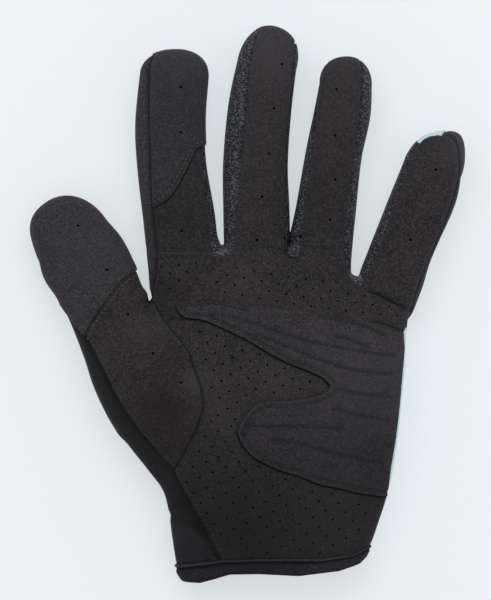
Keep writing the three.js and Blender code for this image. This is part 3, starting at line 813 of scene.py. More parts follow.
def times(share, colour):
    """The colour, each part times a share."""
    return tuple(share * part for part in colour)


def reading(material, name):
    """The number that the mesh holds under a name (see set_values)."""
    return shade(material, "Attribute", gives="Fac", attribute_name=name)


def product(material, first, second):
    """One value times another."""
    return shade(material, "Math", {0: first, 1: second}, operation="MULTIPLY")


def spread(material, value, low, high):
    """The value with low to high spread from 0 to 1: (value - low) / (high - low), kept in there."""
    return shade(material, "MapRange", {"Value": value, "From Min": low, "From Max": high})


def noise(material, at, scale, detail=3, rough=0.55, low=0.35, high=0.65):
    """Fractal noise at a place, spread so that low to high becomes 0 to 1."""
    takes = {"Vector": at, "Scale": scale, "Detail": detail, "Roughness": rough}
    return spread(material, shade(material, "TexNoise", takes), low, high)


def blend(material, factor, first, second, amount=1.0):
    """Mix of two colours by a factor times an amount."""
    factor = product(material, factor, amount)
    first, second = (c if isinstance(c, bpy.types.NodeSocket) else (*c, 1) for c in (first, second))
    return shade(material, "Mix", {"Factor": factor, "A": first, "B": second}, "Result", data_type="RGBA")


def finish_material(material, colour, height, strength, distance, **constants):
    """Colour, bump and constant settings on the material's shader."""
    shader = material.node_tree.nodes["Principled BSDF"]
    links = material.node_tree.links
    links.new(colour, shader.inputs["Base Color"])
    takes = {"Height": height, "Strength": strength, "Distance": distance * MM}
    links.new(shade(material, "Bump", takes, "Normal"), shader.inputs["Normal"])
    for name, value in constants.items():
        shader.inputs[name.replace("_", " ")].default_value = value


def shaded(material, tone, dark, pale):
    """The tone moved to the pale or the dark colour by the mesh's tone: wear and dirt, and painted highlights
    and painted shade.
    """
    place = reading(material, "tone")
    tone = blend(material, spread(material, place, 0.0, -1.0), tone, dark)
    return blend(material, place, tone, pale)


def suede(name, colour, pale):
    """Brushed suede: cloudy patches a few millimetres across, a fine speckled nap that also gives
    the bump, and a soft sheen at grazing angles. It is pale with wear along its edges, with a painted
    highlight on its raised welts, painted shade in its stitched grooves and folds, and painted light
    that falls off from paler fingertips to a darker wrist."""
    material = new_material(name)
    at = shade(material, "TexCoord", gives="Object")
    dark = times(0.5, colour)
    tone = blend(material, noise(material, at, 130), times(0.72, colour), times(1.12, colour))
    tone = blend(material, noise(material, at, 480, 3, low=0.35, high=0.7), tone, pale, 0.3)
    tone = blend(material, noise(material, at, 1150, 3, 0.7, 0.47, 0.66), tone, pale, 0.8)
    tone = blend(material, noise(material, at, 1450, 2, 0.7, 0.47, 0.66), tone, dark, 0.95)
    tone = shaded(material, tone, dark, pale)
    # Pale with wear along edges and painted highlight on welts above 0; painted shade in grooves and folds
    # below 0
    wear_and_painted_light = reading(material, "wear_and_painted_light")
    wear_and_painted_highlight = product(material, wear_and_painted_light, noise(material, at, 900, 2, low=0.3, high=0.6))
    tone = blend(material, wear_and_painted_highlight, tone, pale, 0.45)
    tone = blend(material, spread(material, wear_and_painted_light, -0.05, -0.75), tone, times(0.2, colour), 0.9)
    # Painted light falling off along the hand: painted shade towards the wrist, painted light at the
    # fingertips
    along = shade(material, "SeparateXYZ", {"Vector": at}, "Y")
    tone = blend(material, spread(material, along, -0.02, -0.085), tone, dark, 0.6)
    tone = blend(material, spread(material, along, 0.03, 0.11), tone, pale, 0.3)
    nap = noise(material, at, 1700, 4, 0.75, 0.2, 0.8)
    finish_material(material, tone, nap, 0.6, 0.3, Roughness=0.95, Specular_IOR_Level=0.12,
                    Sheen_Weight=0.12, Sheen_Roughness=0.5, Sheen_Tint=(0.55, 0.53, 0.58, 1))
    return material


PALM_SUEDE = suede("palm_suede", (0.0182, 0.0161, 0.0176), (0.052, 0.048, 0.052))

# Seams and edges in plan
GUSSET_SEAM = seam([(-11.0, -103.0), (-13, -97.3), (-18.8, -86), (-25, -75.5), (-29.2, -66.3)])
THUMB_PALM_SEAM = seam([(-29.2, -66.3), (-25.6, -60.3), (-18.8, -46.3), (-17.6, -36.3), (-22.8, -20.3)])
THUMB_CROTCH_SEAM = seam([(-22.8, -20.3), (-27.6, -13.5), (-34.4, -5.5), (-39.0, 1.2)])
INDEX_TO_THUMB_SEAM = seam([(-39.0, 1.2), (-36.8, 11), (-36.0, 20.7)])
INDEX_BASE_SEAM = seam([(-36.0, 20.7), (-26, 21.1), (-18, 21.0), (-12.6, 20.9)])
CROTCH_RIM_INDEX = seam([(-12.6, 20.9), (-11.4, 20.2), (-9.6, 19.8), (-7.4, 20.6), (-5.5, 24)])
MIDDLE_LEFT_SEAM = seam([(-5.5, 24), (-3.6, 40), (-1.6, 62), (0, 80), (1.4, 97), (3.6, 107)])
MIDDLE_RIGHT_SEAM = seam([(19.4, 104), (18.6, 98), (17.8, 88), (16.2, 68), (15.2, 44), (15.6, 28)])
CROTCH_RIM_MIDDLE = seam([(15.6, 28), (15.9, 24.5), (16.9, 21.6), (18.4, 20.2), (20.4, 20.9), (21.6, 23.7)])
RING_LEFT_SEAM = seam([(21.6, 23.7), (22.2, 31), (23.2, 41), (26.4, 65.7), (27.8, 80), (28.6, 90),
                       (30.4, 95)])
RING_RIGHT_SEAM = seam([(45.4, 97), (45.7, 92), (44.8, 76), (41.6, 50), (38.8, 23.7), (39.6, 15.7)])
CROTCH_RIM_RING = seam([(39.6, 15.7), (41.2, 11.8), (44.2, 8.9), (47.6, 11.6), (50.4, 17.2)])
LITTLE_LEFT_SEAM = seam([(50.4, 17.2), (57.2, 34), (63.8, 54), (66.8, 62.0), (70.2, 66.3)])
LITTLE_TIP_EDGE = seam([(70.2, 66.3), (73.3, 67.9), (76.4, 67.9)])
LITTLE_RIGHT_SEAM = seam([(76.4, 67.9), (81.2, 65.4), (83.6, 59.7), (83.2, 49.7), (76.4, 27), (68.2, 8)])
LITTLE_BASE_SEAM = seam([(68.2, 8), (65.8, -0.6), (63.6, -9)])
PALM_EDGE_SEAM = seam([(63.6, -9), (62.8, -16), (62.1, -26), (61.0, -38), (59.4, -54), (57.4, -66),
                       (56.2, -73)])
PALM_HEEL_EDGE = around((56.6, -75), (50.4, -96), (2.2, 4.4, 4.4, 4.4))
CUFF_EDGE = seam([(50.0, -98.0), (41.2, -101.6), (29.2, -103.4), (5.2, -103.4), (-11, -103.4)])

# Punched holes: origin, pitch along a row, shift and drop from row to row, slope of a row at its
# origin and how it eases off, numbers of the rows, and the outline of the field
HOLE_RADIUS, VENT_RADIUS = 0.44, 0.58
HOLE_FIELDS = [
    dict(origin=(-21.6, -64.7), pitch=7.92, shift=2.72, drop=3.4, slope=-0.29, ease=0.00171, rows=(-13, 13),
         field=[(-16, -41), (-13, -46), (-3.6, -47), (-5.6, -53), (0, -60.5), (16, -69), (32, -74.6),
                (54, -78.4), (50.8, -83), (46, -95.5), (32, -99.6), (-10, -99.6), (-12, -93), (-24, -73),
                (-27, -66), (-21, -57)]),
    dict(origin=(-16.4, -21.9), pitch=6.9, shift=3.1, drop=3.5, slope=-0.25, ease=0.00085, rows=(-6, 9),
         field=[(-24.6, -8.2), (-14, -9.8), (0, -17), (16, -24.8), (28, -30.4), (17, -36.4), (6, -36.8),
                (-2, -41.5), (-4.4, -47), (-12.4, -46), (-14.6, -40), (-15.6, -33), (-19.5, -21)]),
    dict(origin=(-8.0, 11.7), pitch=6.88, shift=3.0, drop=3.5, slope=-0.19, ease=0.0008, rows=(-2, 5),
         field=[(-12, 15), (-5, 15.6), (10, 14.6), (34, 12), (41, 3.4), (47, 4), (58, -0.5), (62, -5),
                (60, -9), (48, -4.6), (24, -0.6), (2, 2.6), (-12, 5)]),
    dict(origin=(-34.0, 14.9), pitch=6.9, shift=3.4, drop=3.0, slope=0.1, ease=0.0, rows=(-1, 4),
         field=[(-35.6, 17.6), (-15, 17.6), (-20, 10.5), (-27, 5.5), (-34, 4)]),
]
FINGER_VENTS = [(14, 95.7), (10.8, 78.1), (8.8, 60.1), (6.0, 42.9), (4.0, 25.7), (35.6, 85.7), (35.2, 67.3),
                (35.2, 49.7), (33.2, 33.7), (74.8, 53.7), (65.2, 25.7)]


def punched(fields):
    """Holes of all fields: each row runs along a parabola from its own start, rows drop and shift
    evenly, and only what lies inside the field's outline is kept."""
    spots = []
    for row in fields:
        i, j = np.meshgrid(np.arange(-20, 21), np.arange(*row["rows"]))
        u = i * row["pitch"] + j * row["shift"]
        y = row["origin"][1] - j * row["drop"] + row["slope"] * u + row["ease"] * u**2
        all_spots = np.column_stack([(row["origin"][0] + u).ravel(), y.ravel()])
        spots.append(all_spots[within(all_spots, np.array(row["field"], float))])
    spots = np.vstack(spots)
    return np.column_stack([spots, np.full(len(spots), HOLE_RADIUS)])


def vents(spots):
    """The few larger holes of a finger."""
    return np.column_stack([spots, np.full(len(spots), VENT_RADIUS)])


# The panel's flat outline. It goes over the fingertips as far as TIP_OVER, and its corner beside the
# thumb's gusset is cut wider, under the cuff
TIP_OVER = (3.8, 6.5, 6.5, 6.5, 3.8)
palm_ring = drawn(
    [(-16.5, -103.4)], GUSSET_SEAM[GUSSET_SEAM[:, 1] > -99.6], THUMB_PALM_SEAM, THUMB_CROTCH_SEAM,
    INDEX_TO_THUMB_SEAM, INDEX_BASE_SEAM, CROTCH_RIM_INDEX,
    MIDDLE_LEFT_SEAM, around((3.4, 108.4), (19.8, 105), TIP_OVER), MIDDLE_RIGHT_SEAM, CROTCH_RIM_MIDDLE,
    RING_LEFT_SEAM, around((30.6, 97), (45.6, 98), TIP_OVER), RING_RIGHT_SEAM, CROTCH_RIM_RING,
    LITTLE_LEFT_SEAM, LITTLE_TIP_EDGE, LITTLE_RIGHT_SEAM, LITTLE_BASE_SEAM,
    PALM_EDGE_SEAM, PALM_HEEL_EDGE, CUFF_EDGE)
palm_holes = np.vstack([punched(HOLE_FIELDS), vents(FINGER_VENTS)])

# The palm is pulled down beside the edges of the patch, which is made further down
PATCH_UPPER_EDGE = seam([(-28.4, -0.7), (-27.6, 1.0), (-18.8, 2.1), (-6.8, 0.5), (17.2, -1.9), (29.2, -3.5),
                         (47.2, -6.7), (55.2, -9.1), (63.0, -12.0)])
PATCH_LOWER_EDGE = seam([(55.5, -76.6), (45.2, -75.1), (37.2, -73.1), (29.2, -71.5), (21.2, -68.3),
                         (13.2, -65.9), (7.2, -63.1), (2.8, -60.7), (-0.4, -57.5), (-2.4, -54.3),
                         (-3.6, -51.1)])
PATCH_LOWER_LOBE = seam([(-3.6, -51.1), (-2.8, -48.3), (0, -43.5), (3.2, -40.3), (7.2, -38.7), (17.2, -38.3),
                         (25.2, -37.1), (31.2, -35.1), (33.0, -33.2)])
PATCH_UPPER_LOBE = seam([(33.0, -32.0), (30, -29.1), (25.2, -26.7), (17.2, -23.5), (9.2, -19.5),
                         (1.2, -14.7), (-6.8, -10.7), (-14.8, -7.1), (-18.8, -5.9), (-22.8, -5.5),
                         (-26.0, -4.3), (-28.4, -0.7)])

# Grooves of the panel: line, depth or with a minus sign height, and width
# A groove is also painted dark as shade, and a raised line pale as a highlight; those beside the patch's
# edges make its painted shadow lines
palm_grooves = [
    (THUMB_PALM_SEAM, 0.75, 0.6), (GUSSET_SEAM, 0.5, 0.6), (THUMB_CROTCH_SEAM, 0.5, 0.7),
    (beside(INDEX_BASE_SEAM, -2.0), 0.25, 0.6), (beside(INDEX_BASE_SEAM, -0.7), -0.25, 0.5),
    (beside(LITTLE_RIGHT_SEAM, -1.1), -0.4, 0.8), (INDEX_TO_THUMB_SEAM, 0.6, 0.7),
    (beside(PATCH_UPPER_LOBE, 0.3), 0.9, 0.45), (beside(PATCH_LOWER_EDGE, 0.3), 0.9, 0.45),
    (beside(PATCH_LOWER_LOBE, 0.3), 0.14, 0.5), (seam([(50, -6.7), (56, -8.4), (63, -11.2)]), 0.6, 0.5),
    (seam([(-31.4, -5.6), (-26.5, -5.9), (-22.6, -6.1)]), 0.4, 0.4),
    (seam([(49.0, 5.4), (55.6, 2.3), (63.5, -2.2)]), 0.45, 0.5)]
panel("palm_panel", palm_ring, PALM_SUEDE, ["palm_panel"], holes=palm_holes, grooves=palm_grooves)

DARK_THREAD = thread("dark_thread", (0.02, 0.02, 0.027))
PALE_THREAD = thread("pale_thread", (0.07, 0.068, 0.075))
palm_stitch_rows = [
    (beside(THUMB_PALM_SEAM, -2.2), -0.1, None), (beside(GUSSET_SEAM, -2.0), -0.1, None),
    (beside(THUMB_CROTCH_SEAM, -2.2), -0.1, None), (beside(INDEX_BASE_SEAM, -2.0), -0.15, None)]
stitches("palm_stitches", palm_stitch_rows, DARK_THREAD)


# The index panel and the index tip cap
# The index finger's palm face is a separate suede panel, seamed under the palm at its base. Over
# its tip goes a cap of thicker suede, which laps over the panel with a slanted, stitched edge.

FINGER_SUEDE = suede("finger_suede", (0.0165, 0.0149, 0.0160), (0.048, 0.045, 0.049))
INDEX_CAP_SUEDE = suede("index_cap_suede", (0.0192, 0.0180, 0.0207), (0.052, 0.050, 0.056))

# How far a cap stands proud, the depth of its stitched groove, and the caps' fingers, by number
CAP_OUT = 0.55
CAP_GROOVE = 0.15
INDEX, THUMB = 0, 4
INDEX_CAP_EDGE = seam([(-17.4, 63.3), (-20.4, 61.7), (-24.8, 52.9), (-30.8, 42.9), (-38.0, 38.7)], INDEX)
INDEX_OUTER_SEAM = seam([(-38.0, 38.7), (-38.8, 66), (-38.8, 92), (-37.4, 99.6)], INDEX)
INDEX_LOWER_SEAM = seam([(-38.3, 42.0), (-37.6, 34), (-36.0, 19.6)], INDEX)
INDEX_INNER_SEAM = seam([(-12.6, 19.9), (-13.7, 24), (-14.2, 28), (-15.6, 38.9), (-17.2, 52.5),
                         (-18.0, 66)], INDEX)

index_ring = drawn(
    INDEX_INNER_SEAM, seam([(-18.0, 66), (-22.0, 63.4), (-27, 53.5), (-32.6, 44.9), (-38.3, 42.0)]),
    INDEX_LOWER_SEAM, [(-36, 19.6), (-12.6, 19.9)])
index_grooves = [(beside(INDEX_CAP_EDGE, 0.4), 0.5, 0.5), (INDEX_LOWER_SEAM, 0.8, 0.7)]
panel("index_palm_panel", index_ring, FINGER_SUEDE, ["index_palm_panel"], out=-0.25, dip=0.45,
      holes=vents([(-26.4, 50.1), (-26, 29.3)]), grooves=index_grooves, finger=INDEX)

index_cap_ring = drawn(
    INDEX_CAP_EDGE, INDEX_OUTER_SEAM, around((-37.8, 100.4), (-16.4, 96), (4, 6.5, 6.5, 6.5)),
    around((-16.4, 96), (-17.2, 64), (6.5, 5)))
index_cap_row = beside(INDEX_CAP_EDGE, -1.8)
panel("index_tip_cap", index_cap_ring, INDEX_CAP_SUEDE, ["index_tip_cap"], wall=0.8,
      out=CAP_OUT, dip=0.3, reach=0.6, holes=vents([(-26.4, 86.5), (-26.4, 68.5)]),
      grooves=[(index_cap_row, 0.22, 0.7), (INDEX_OUTER_SEAM, 0.8, 0.7)], finger=INDEX)
stitches("index_stitches", [(index_cap_row, CAP_OUT - CAP_GROOVE, INDEX)], PALE_THREAD, 1.9)


# The thumb panel and the thumb tip cap
# A broad suede panel covers the thumb's palm face and the ball of the thumb, and a cap its tip.

THUMB_SUEDE = suede("thumb_suede", (0.0186, 0.0162, 0.0172), (0.052, 0.047, 0.050))
THUMB_CAP_SUEDE = suede("thumb_cap_suede", (0.0245, 0.0222, 0.0256), (0.060, 0.057, 0.063))
THUMB_OUTER_SEAM = seam([(-64.9, -12.8), (-58.8, -24.3), (-50.4, -40.3), (-42.4, -51.6), (-29.2, -66.3)])
THUMB_CAP_EDGE = seam([(-44.0, 13.7), (-50, 9.7), (-55.2, 3.0), (-59.4, -3), (-62.8, -8.3),
                       (-64.9, -12.8)], THUMB)
THUMB_CAP_SIDE = seam([(-64.9, -12.8), (-69.4, -7.4), (-73.4, -2.2)], THUMB)

thumb_ring = drawn(
    THUMB_OUTER_SEAM, THUMB_PALM_SEAM, THUMB_CROTCH_SEAM[:-3], [(-40.2, 2.4)],
    around((-40.7, 4.6), (-45.5, 17), (2.6, 4.3, 4.5, 4.8)),
    seam([(-46, 14.6), (-51.6, 11), (-57.2, 3.8), (-61.4, -2.4), (-64.6, -8), (-66.4, -12.4)]))
thumb_grooves = [(THUMB_PALM_SEAM, 0.7, 0.6), (THUMB_CROTCH_SEAM, -0.3, 0.7), (THUMB_OUTER_SEAM, 0.6, 0.8),
                 (beside(THUMB_CAP_EDGE, -0.4), 0.5, 0.5)]
panel("thumb_palm_panel", thumb_ring, THUMB_SUEDE, ["thumb_palm_panel"], out=-0.1, dip=0.5,
      holes=vents([(-47.4, -3.9), (-37.4, -19.4), (-26.2, -31)]), grooves=thumb_grooves, finger=THUMB,
      crotch=1.0)

thumb_cap_ring = drawn(
    THUMB_CAP_EDGE, THUMB_CAP_SIDE,
    around((-74.6, -0.6), (-44.2, 14.4), (3.9, 6.5, 6.5, 6.5, 6.5, 6.5, 5.0)))
thumb_cap_row = beside(THUMB_CAP_EDGE, 1.8)
panel("thumb_tip_cap", thumb_cap_ring, THUMB_CAP_SUEDE, ["thumb_tip_cap"], wall=0.8,
      out=CAP_OUT, dip=0.3, reach=0.6, holes=vents([(-67.3, 31.4), (-55.9, 13.7)]),
      grooves=[(thumb_cap_row, 0.22, 0.7)], finger=THUMB)
stitches("thumb_stitches", [(thumb_cap_row, CAP_OUT - CAP_GROOVE, THUMB)], PALE_THREAD, 1.9)


# The palm patch
# A quilted suede overlay across the heel of the hand and the knuckles: an upper and a lower lobe
# with a notch between them. Rows of stitches quilt it, and its free edges stand up a little.

PATCH_SUEDE = suede("patch_suede", (0.0232, 0.0208, 0.0234), (0.060, 0.056, 0.062))

# How far the patch stands proud, its quilted channels, and how far below its face their thread lies
PATCH_OUT = 1.05
QUILT_DEPTH, QUILT_WIDTH = 0.38, 0.8
QUILT_GROOVE = 0.3
PATCH_SIDE = seam([(63.0, -12.0), (61.7, -26), (60.6, -38), (59.0, -54), (56.9, -66), (55.5, -76.6)])
patch_ring = drawn(PATCH_UPPER_EDGE, PATCH_SIDE, PATCH_LOWER_EDGE, PATCH_LOWER_LOBE, PATCH_UPPER_LOBE)

# Rows of quilting, beside the patch's free edges and across its lobes
QUILT_ROWS = [
    beside(PATCH_LOWER_EDGE, -1.9), beside(PATCH_LOWER_LOBE, -1.9), beside(PATCH_UPPER_LOBE, -1.9),
    seam([(1.2, -47.9), (12, -48.3), (24, -48.7), (38, -49.3)]),
    seam([(9.2, -53.5), (22.4, -55.5), (35.2, -59.1), (45.2, -61.5), (53.6, -62.7)]),
    seam([(-24.0, -0.3), (-12.8, 0.6), (-0.8, -1.9)]),
    seam([(-14, -3.9), (-4, -5.4), (8, -9.4), (22, -13.9), (36, -17.1), (50, -19.5), (58, -20.4)]),
    seam([(4, -11.9), (16, -16.7), (28, -21.7), (40, -25.5), (50, -27.1), (57, -27.6)]),
    seam([(28.4, -4.9), (43.2, -7.6), (54, -11.9)]),
    seam([(35.6, -12.4), (42, -14.6), (48.4, -16.8)]),
    seam([(36, -33.6), (46, -35.6), (56.4, -36.6)]),
    seam([(34, -41.4), (46, -44.2), (56, -46.0)]),
]
quilt_grooves = [(row, QUILT_DEPTH, QUILT_WIDTH) for row in QUILT_ROWS]
patch = panel("palm_patch", patch_ring, PATCH_SUEDE, ["palm_patch"], wall=0.9,
              out=PATCH_OUT, dip=0.45, reach=0.8, spacing=0.95, grooves=quilt_grooves,
              flush=PATCH_UPPER_EDGE, edge_worn=0.15)

QUILT_THREAD = thread("quilt_thread", (0.012, 0.012, 0.019))
quilt_stitch_rows = [(row, PATCH_OUT - QUILT_GROOVE, None) for row in QUILT_ROWS]
stitches("patch_stitches", quilt_stitch_rows, QUILT_THREAD)


# The mesh between the fingers
# Three strips of open black mesh are the side walls of the fingers. Each runs down one finger,
# round the crotch and up the next, and shows as a narrow band beside the suede.

# How far a strip is tucked under the suede, how deep its tucked edge goes down over what width, how
# far in under the glove it ends, over what width a painted shadow darkens it beside the suede, over
# what length it comes up from a sunk start, and its number of cells from edge to edge
STRIP_TUCK = 1.0
STRIP_DIP, STRIP_REACH = 0.9, 2.6
STRIP_UNDER = 3.6
STRIP_SHADOW = 0.9
STRIP_RUN_IN = 5
STRIP_CELLS = 18

# Where the outline bends left by more than 3 degrees from point to point, it fans round a crotch
FAN = np.gradient(TURN) > np.radians(3)


def on_plan(line, finger=None):
    """Where a seam that is drawn on the pattern lies in plan."""
    return in_batches(lambda some: lay_on(some, 1, finger), line)[:, :2]


RAY_RANGE = (-0.6, 8.0)


def reach_to(pick, line):
    """Pattern distance inside the outline at which a line of the plan lies: where the ray straight in
    from each place on the outline first crosses it, or else the distance to its nearest point. In a
    crotch the furthest crossing counts."""
    start, run = line[:-1], np.diff(line, axis=0)
    origin, ray = OUTLINE[pick][:, None], INWARD[pick][:, None]
    cross = ray[..., 0] * run[:, 1] - ray[..., 1] * run[:, 0]
    cross = np.where(np.abs(cross) < 1e-9, 1e-9, cross)
    gap = start - origin
    along = (gap[..., 0] * run[:, 1] - gap[..., 1] * run[:, 0]) / cross
    share = (gap[..., 0] * ray[..., 1] - gap[..., 1] * ray[..., 0]) / cross
    hit = (share >= 0) & (share <= 1) & (along > RAY_RANGE[0]) & (along < RAY_RANGE[1])
    first = np.where(hit, along, 1e9).min(1)
    last = np.where(hit, along, -1e9).max(1)
    near = distance_to(OUTLINE[pick], line)
    # A ray that meets the line far beyond its nearest point has missed the stretch beside it
    depth = np.where(first < 2.5 * near + 1, first, near)
    depth = np.where(FAN[pick] & (last > -1), last, depth)
    return pattern_distance(np.maximum(depth, 0))


def edge_grid(pick, top, under, cells, out=0.0, dip=0.0, reach=1.0):
    """Skin beside a stretch of the outline, from pattern distance `top` inside it, over the edge, to
    `under` past it: points, triangles, and the pattern as run along the outline and across it."""
    share = np.linspace(0, 1, cells + 1)
    top, under = (np.broadcast_to(v, len(pick)) for v in (top, under))
    run = top[:, None] + (under - top)[:, None] * share
    depth, side = (v.ravel() for v in plan_depth(run))
    place = np.repeat(pick, cells + 1)
    plan = OUTLINE[place] + INWARD[place] * depth[:, None]
    middle, rise = in_batches(lambda some: np.column_stack(form(some[:, :2], some[:, 2])),
                              np.column_stack([plan, depth])).T
    points = np.column_stack([plan, np.maximum(middle + side * rise, 0)])
    i, j = np.meshgrid(np.arange(len(pick) - 1), np.arange(cells), indexing="ij")
    a = (i * (cells + 1) + j).ravel()
    b = a + cells + 1
    faces = np.vstack([np.column_stack([a, b, b + 1]), np.column_stack([a, b + 1, a + 1])])
    inside = OUTLINE[pick] + 1.5 * INWARD[pick]
    along = np.concatenate([[0], np.cumsum(np.linalg.norm(np.diff(inside, axis=0), axis=1))])
    flat = np.column_stack([np.repeat(along, cells + 1), run.ravel()])
    lift = out - dip * (1 - smooth((top[:, None] - run).ravel() / reach))
    return points, faces, flat, lift


def strip(name, start, end, seams, material, replaces, out=0.0, under=STRIP_UNDER, sunk=0.0,
          rim=0.0):
    """A long side panel beside the outline: tucked under the palm side's edge along `seams`, and
    under the back's edge on the other side. Of the seams, a finger's right side meets only the
    first two and a left side only the last two. It starts `sunk` below its surface, and `rim` sets
    its painted glints (above 0) or painted shade (below 0) in a crotch."""
    pick = stretch_of(start, end)
    first, last = (reach_to(pick, np.vstack(pair)) for pair in (seams[:2], seams[-2:]))
    right_side = INWARD[pick, 0] < 0
    top = evened_out(np.where(right_side, first, last) + STRIP_TUCK, 3)
    points, faces, flat, lift = edge_grid(pick, top, pattern_distance(under, -1), STRIP_CELLS, out,
                                          STRIP_DIP, STRIP_REACH)
    lift = lift - sunk * (1 - smooth(flat[:, 0] / STRIP_RUN_IN))
    points = points + outward(points, faces) * lift[:, None]
    points[:, 2] = np.maximum(points[:, 2], 0)
    covered = np.repeat(top, STRIP_CELLS + 1) - STRIP_TUCK - flat[:, 1]
    in_crotch = np.repeat(np.convolve(FAN[pick], np.ones(9) / 9, "same"), STRIP_CELLS + 1)
    # Painted glints or painted shade in a crotch, and a painted shadow where the strip goes under the suede
    wear_and_painted_light = rim * in_crotch - np.exp(-((covered / STRIP_SHADOW) ** 2)) * (1 - in_crotch)
    piece = add_mesh(name, points, faces, material, replaces, flat, WALL, wear_and_painted_light=wear_and_painted_light)
    return piece


def air_mesh():
    """Open black mesh: a net of round eyelets between yarns with pale, slightly blue flecks of
    painted glints. Its eyelets are drawn out across the strip, which is stretched over the finger's side."""
    material = new_material("side_mesh")
    at = shade(material, "TexCoord", gives="Object")
    at = shade(material, "Mapping", {"Vector": at, "Scale": (0.6, 1.0, 0.6)})
    eyes = shade(material, "TexVoronoi", {"Vector": at, "Scale": 1500, "Randomness": 0.8}, "Distance")
    yarn = spread(material, eyes, 0.25, 0.6)
    flecks = noise(material, at, 1500, 3, 0.6, 0.4, 0.65)
    painted_glints = product(material, yarn, flecks)
    tone = blend(material, painted_glints, (0.0055, 0.0056, 0.0075), (0.100, 0.102, 0.120))
    # Paler painted glints in a crotch above 0; painted shade below 0, beside the suede and in a crotch
    wear_and_painted_light = reading(material, "wear_and_painted_light")
    tone = blend(material, product(material, wear_and_painted_light, painted_glints), tone, (0.4, 0.4, 0.44))
    tone = blend(material, spread(material, wear_and_painted_light, 0.0, -1.0), tone, (0.006, 0.006, 0.007), 0.8)
    finish_material(material, tone, yarn, 0.9, 0.4, Roughness=0.6, Specular_IOR_Level=0.25)
    return material


MESH = air_mesh()

# Each strip: its two ends on the outline, the seams it lies under, and its crotch's painted glints or, below
# 0, painted shade
FOURCHETTES = [
    ("fourchette_index_middle", (-17.4, 64), (4.4, 108), 0.05,
     [on_plan(INDEX_INNER_SEAM[::-1], INDEX), on_plan(CROTCH_RIM_INDEX), on_plan(MIDDLE_LEFT_SEAM)]),
    ("fourchette_middle_ring", (19.6, 104), (31, 97), -0.3,
     [on_plan(MIDDLE_RIGHT_SEAM), on_plan(CROTCH_RIM_MIDDLE), on_plan(RING_LEFT_SEAM)]),
    ("fourchette_ring_little", (45.6, 98), (66.6, 66.6), 0.3,
     [on_plan(RING_RIGHT_SEAM), on_plan(CROTCH_RIM_RING), on_plan(LITTLE_LEFT_SEAM)]),
]
for name, start, end, rim, seams in FOURCHETTES:
    strip(name, start, end, seams, MESH, [name], rim=rim)


# The outer sides of the index and little fingers
# Smooth black panels close the hand's two outer sides, from the thumb's crotch to the index tip
# and from the little fingertip to the edge of the palm.


def smooth_cloth(name, colour, pale, rough, sheen, scale, fleck):
    """Close-woven cloth: a fine even grain, slight cloudiness and a faint sheen."""
    material = new_material(name)
    at = shade(material, "TexCoord", gives="Object")
    dark = times(0.35, colour)
    tone = blend(material, noise(material, at, 90), colour, times(1.15, colour))
    tone = blend(material, noise(material, at, scale * 2, 2, 0.6, 0.45, 0.7), tone, pale, fleck)
    tone = shaded(material, tone, dark, pale)
    # The mesh's marks: paler as painted highlight, darker as painted shade beside seams and in grooves
    wear_and_painted_light = reading(material, "wear_and_painted_light")
    tone = blend(material, wear_and_painted_light, tone, pale)
    tone = blend(material, spread(material, wear_and_painted_light, 0.0, -1.0), tone, dark)
    grain = noise(material, at, scale * 2, 2, 0.6, 0.3, 0.7)
    finish_material(material, tone, grain, 0.3, 0.15, Roughness=rough, Specular_IOR_Level=0.12,
                    Sheen_Weight=sheen, Sheen_Roughness=0.4, Sheen_Tint=(0.6, 0.65, 0.7, 1))
    return material


SIDE_CLOTH = smooth_cloth("side_cloth", (0.0215, 0.0205, 0.0235), (0.075, 0.072, 0.080), 0.85, 0.1, 600, 0.6)
index_side = [on_plan(INDEX_TO_THUMB_SEAM), on_plan(INDEX_LOWER_SEAM[::-1], INDEX),
              on_plan(INDEX_OUTER_SEAM, INDEX)]
strip("index_side_strip", (-39.37, 2.76), (-37.2, 100.6), [np.vstack(index_side)], SIDE_CLOTH,
      ["index_side_strip"], sunk=0.9)
little_side = on_plan(np.vstack([LITTLE_RIGHT_SEAM, LITTLE_BASE_SEAM]))
strip("little_side_panel", (76.8, 71.0), (63.4, -9), [little_side], SIDE_CLOTH,
      ["little_side_panel"], out=-0.15, under=4.2, sunk=1.0)


# The back panel and the thumb's back panel
# The back is pale mint stretch cloth. It wraps up round the edge of the palm below the little
# finger and over that finger's tip, where slivers of it show. The thumb's back and outer side are
# dark stretch cloth, which shows broadly beside the thumb's suede and runs down to the wrist.

BACK_SEAM = [(-6.5, -104.5), (-10, -90), (-18, -66), (-24, -40), (-33, -16), (-36.6, -3.5)]

# How far past its seam a wrapped panel's painted shadow starts, and over what width
SHADOW_START, SHADOW_WIDTH = 1.2, 1.3


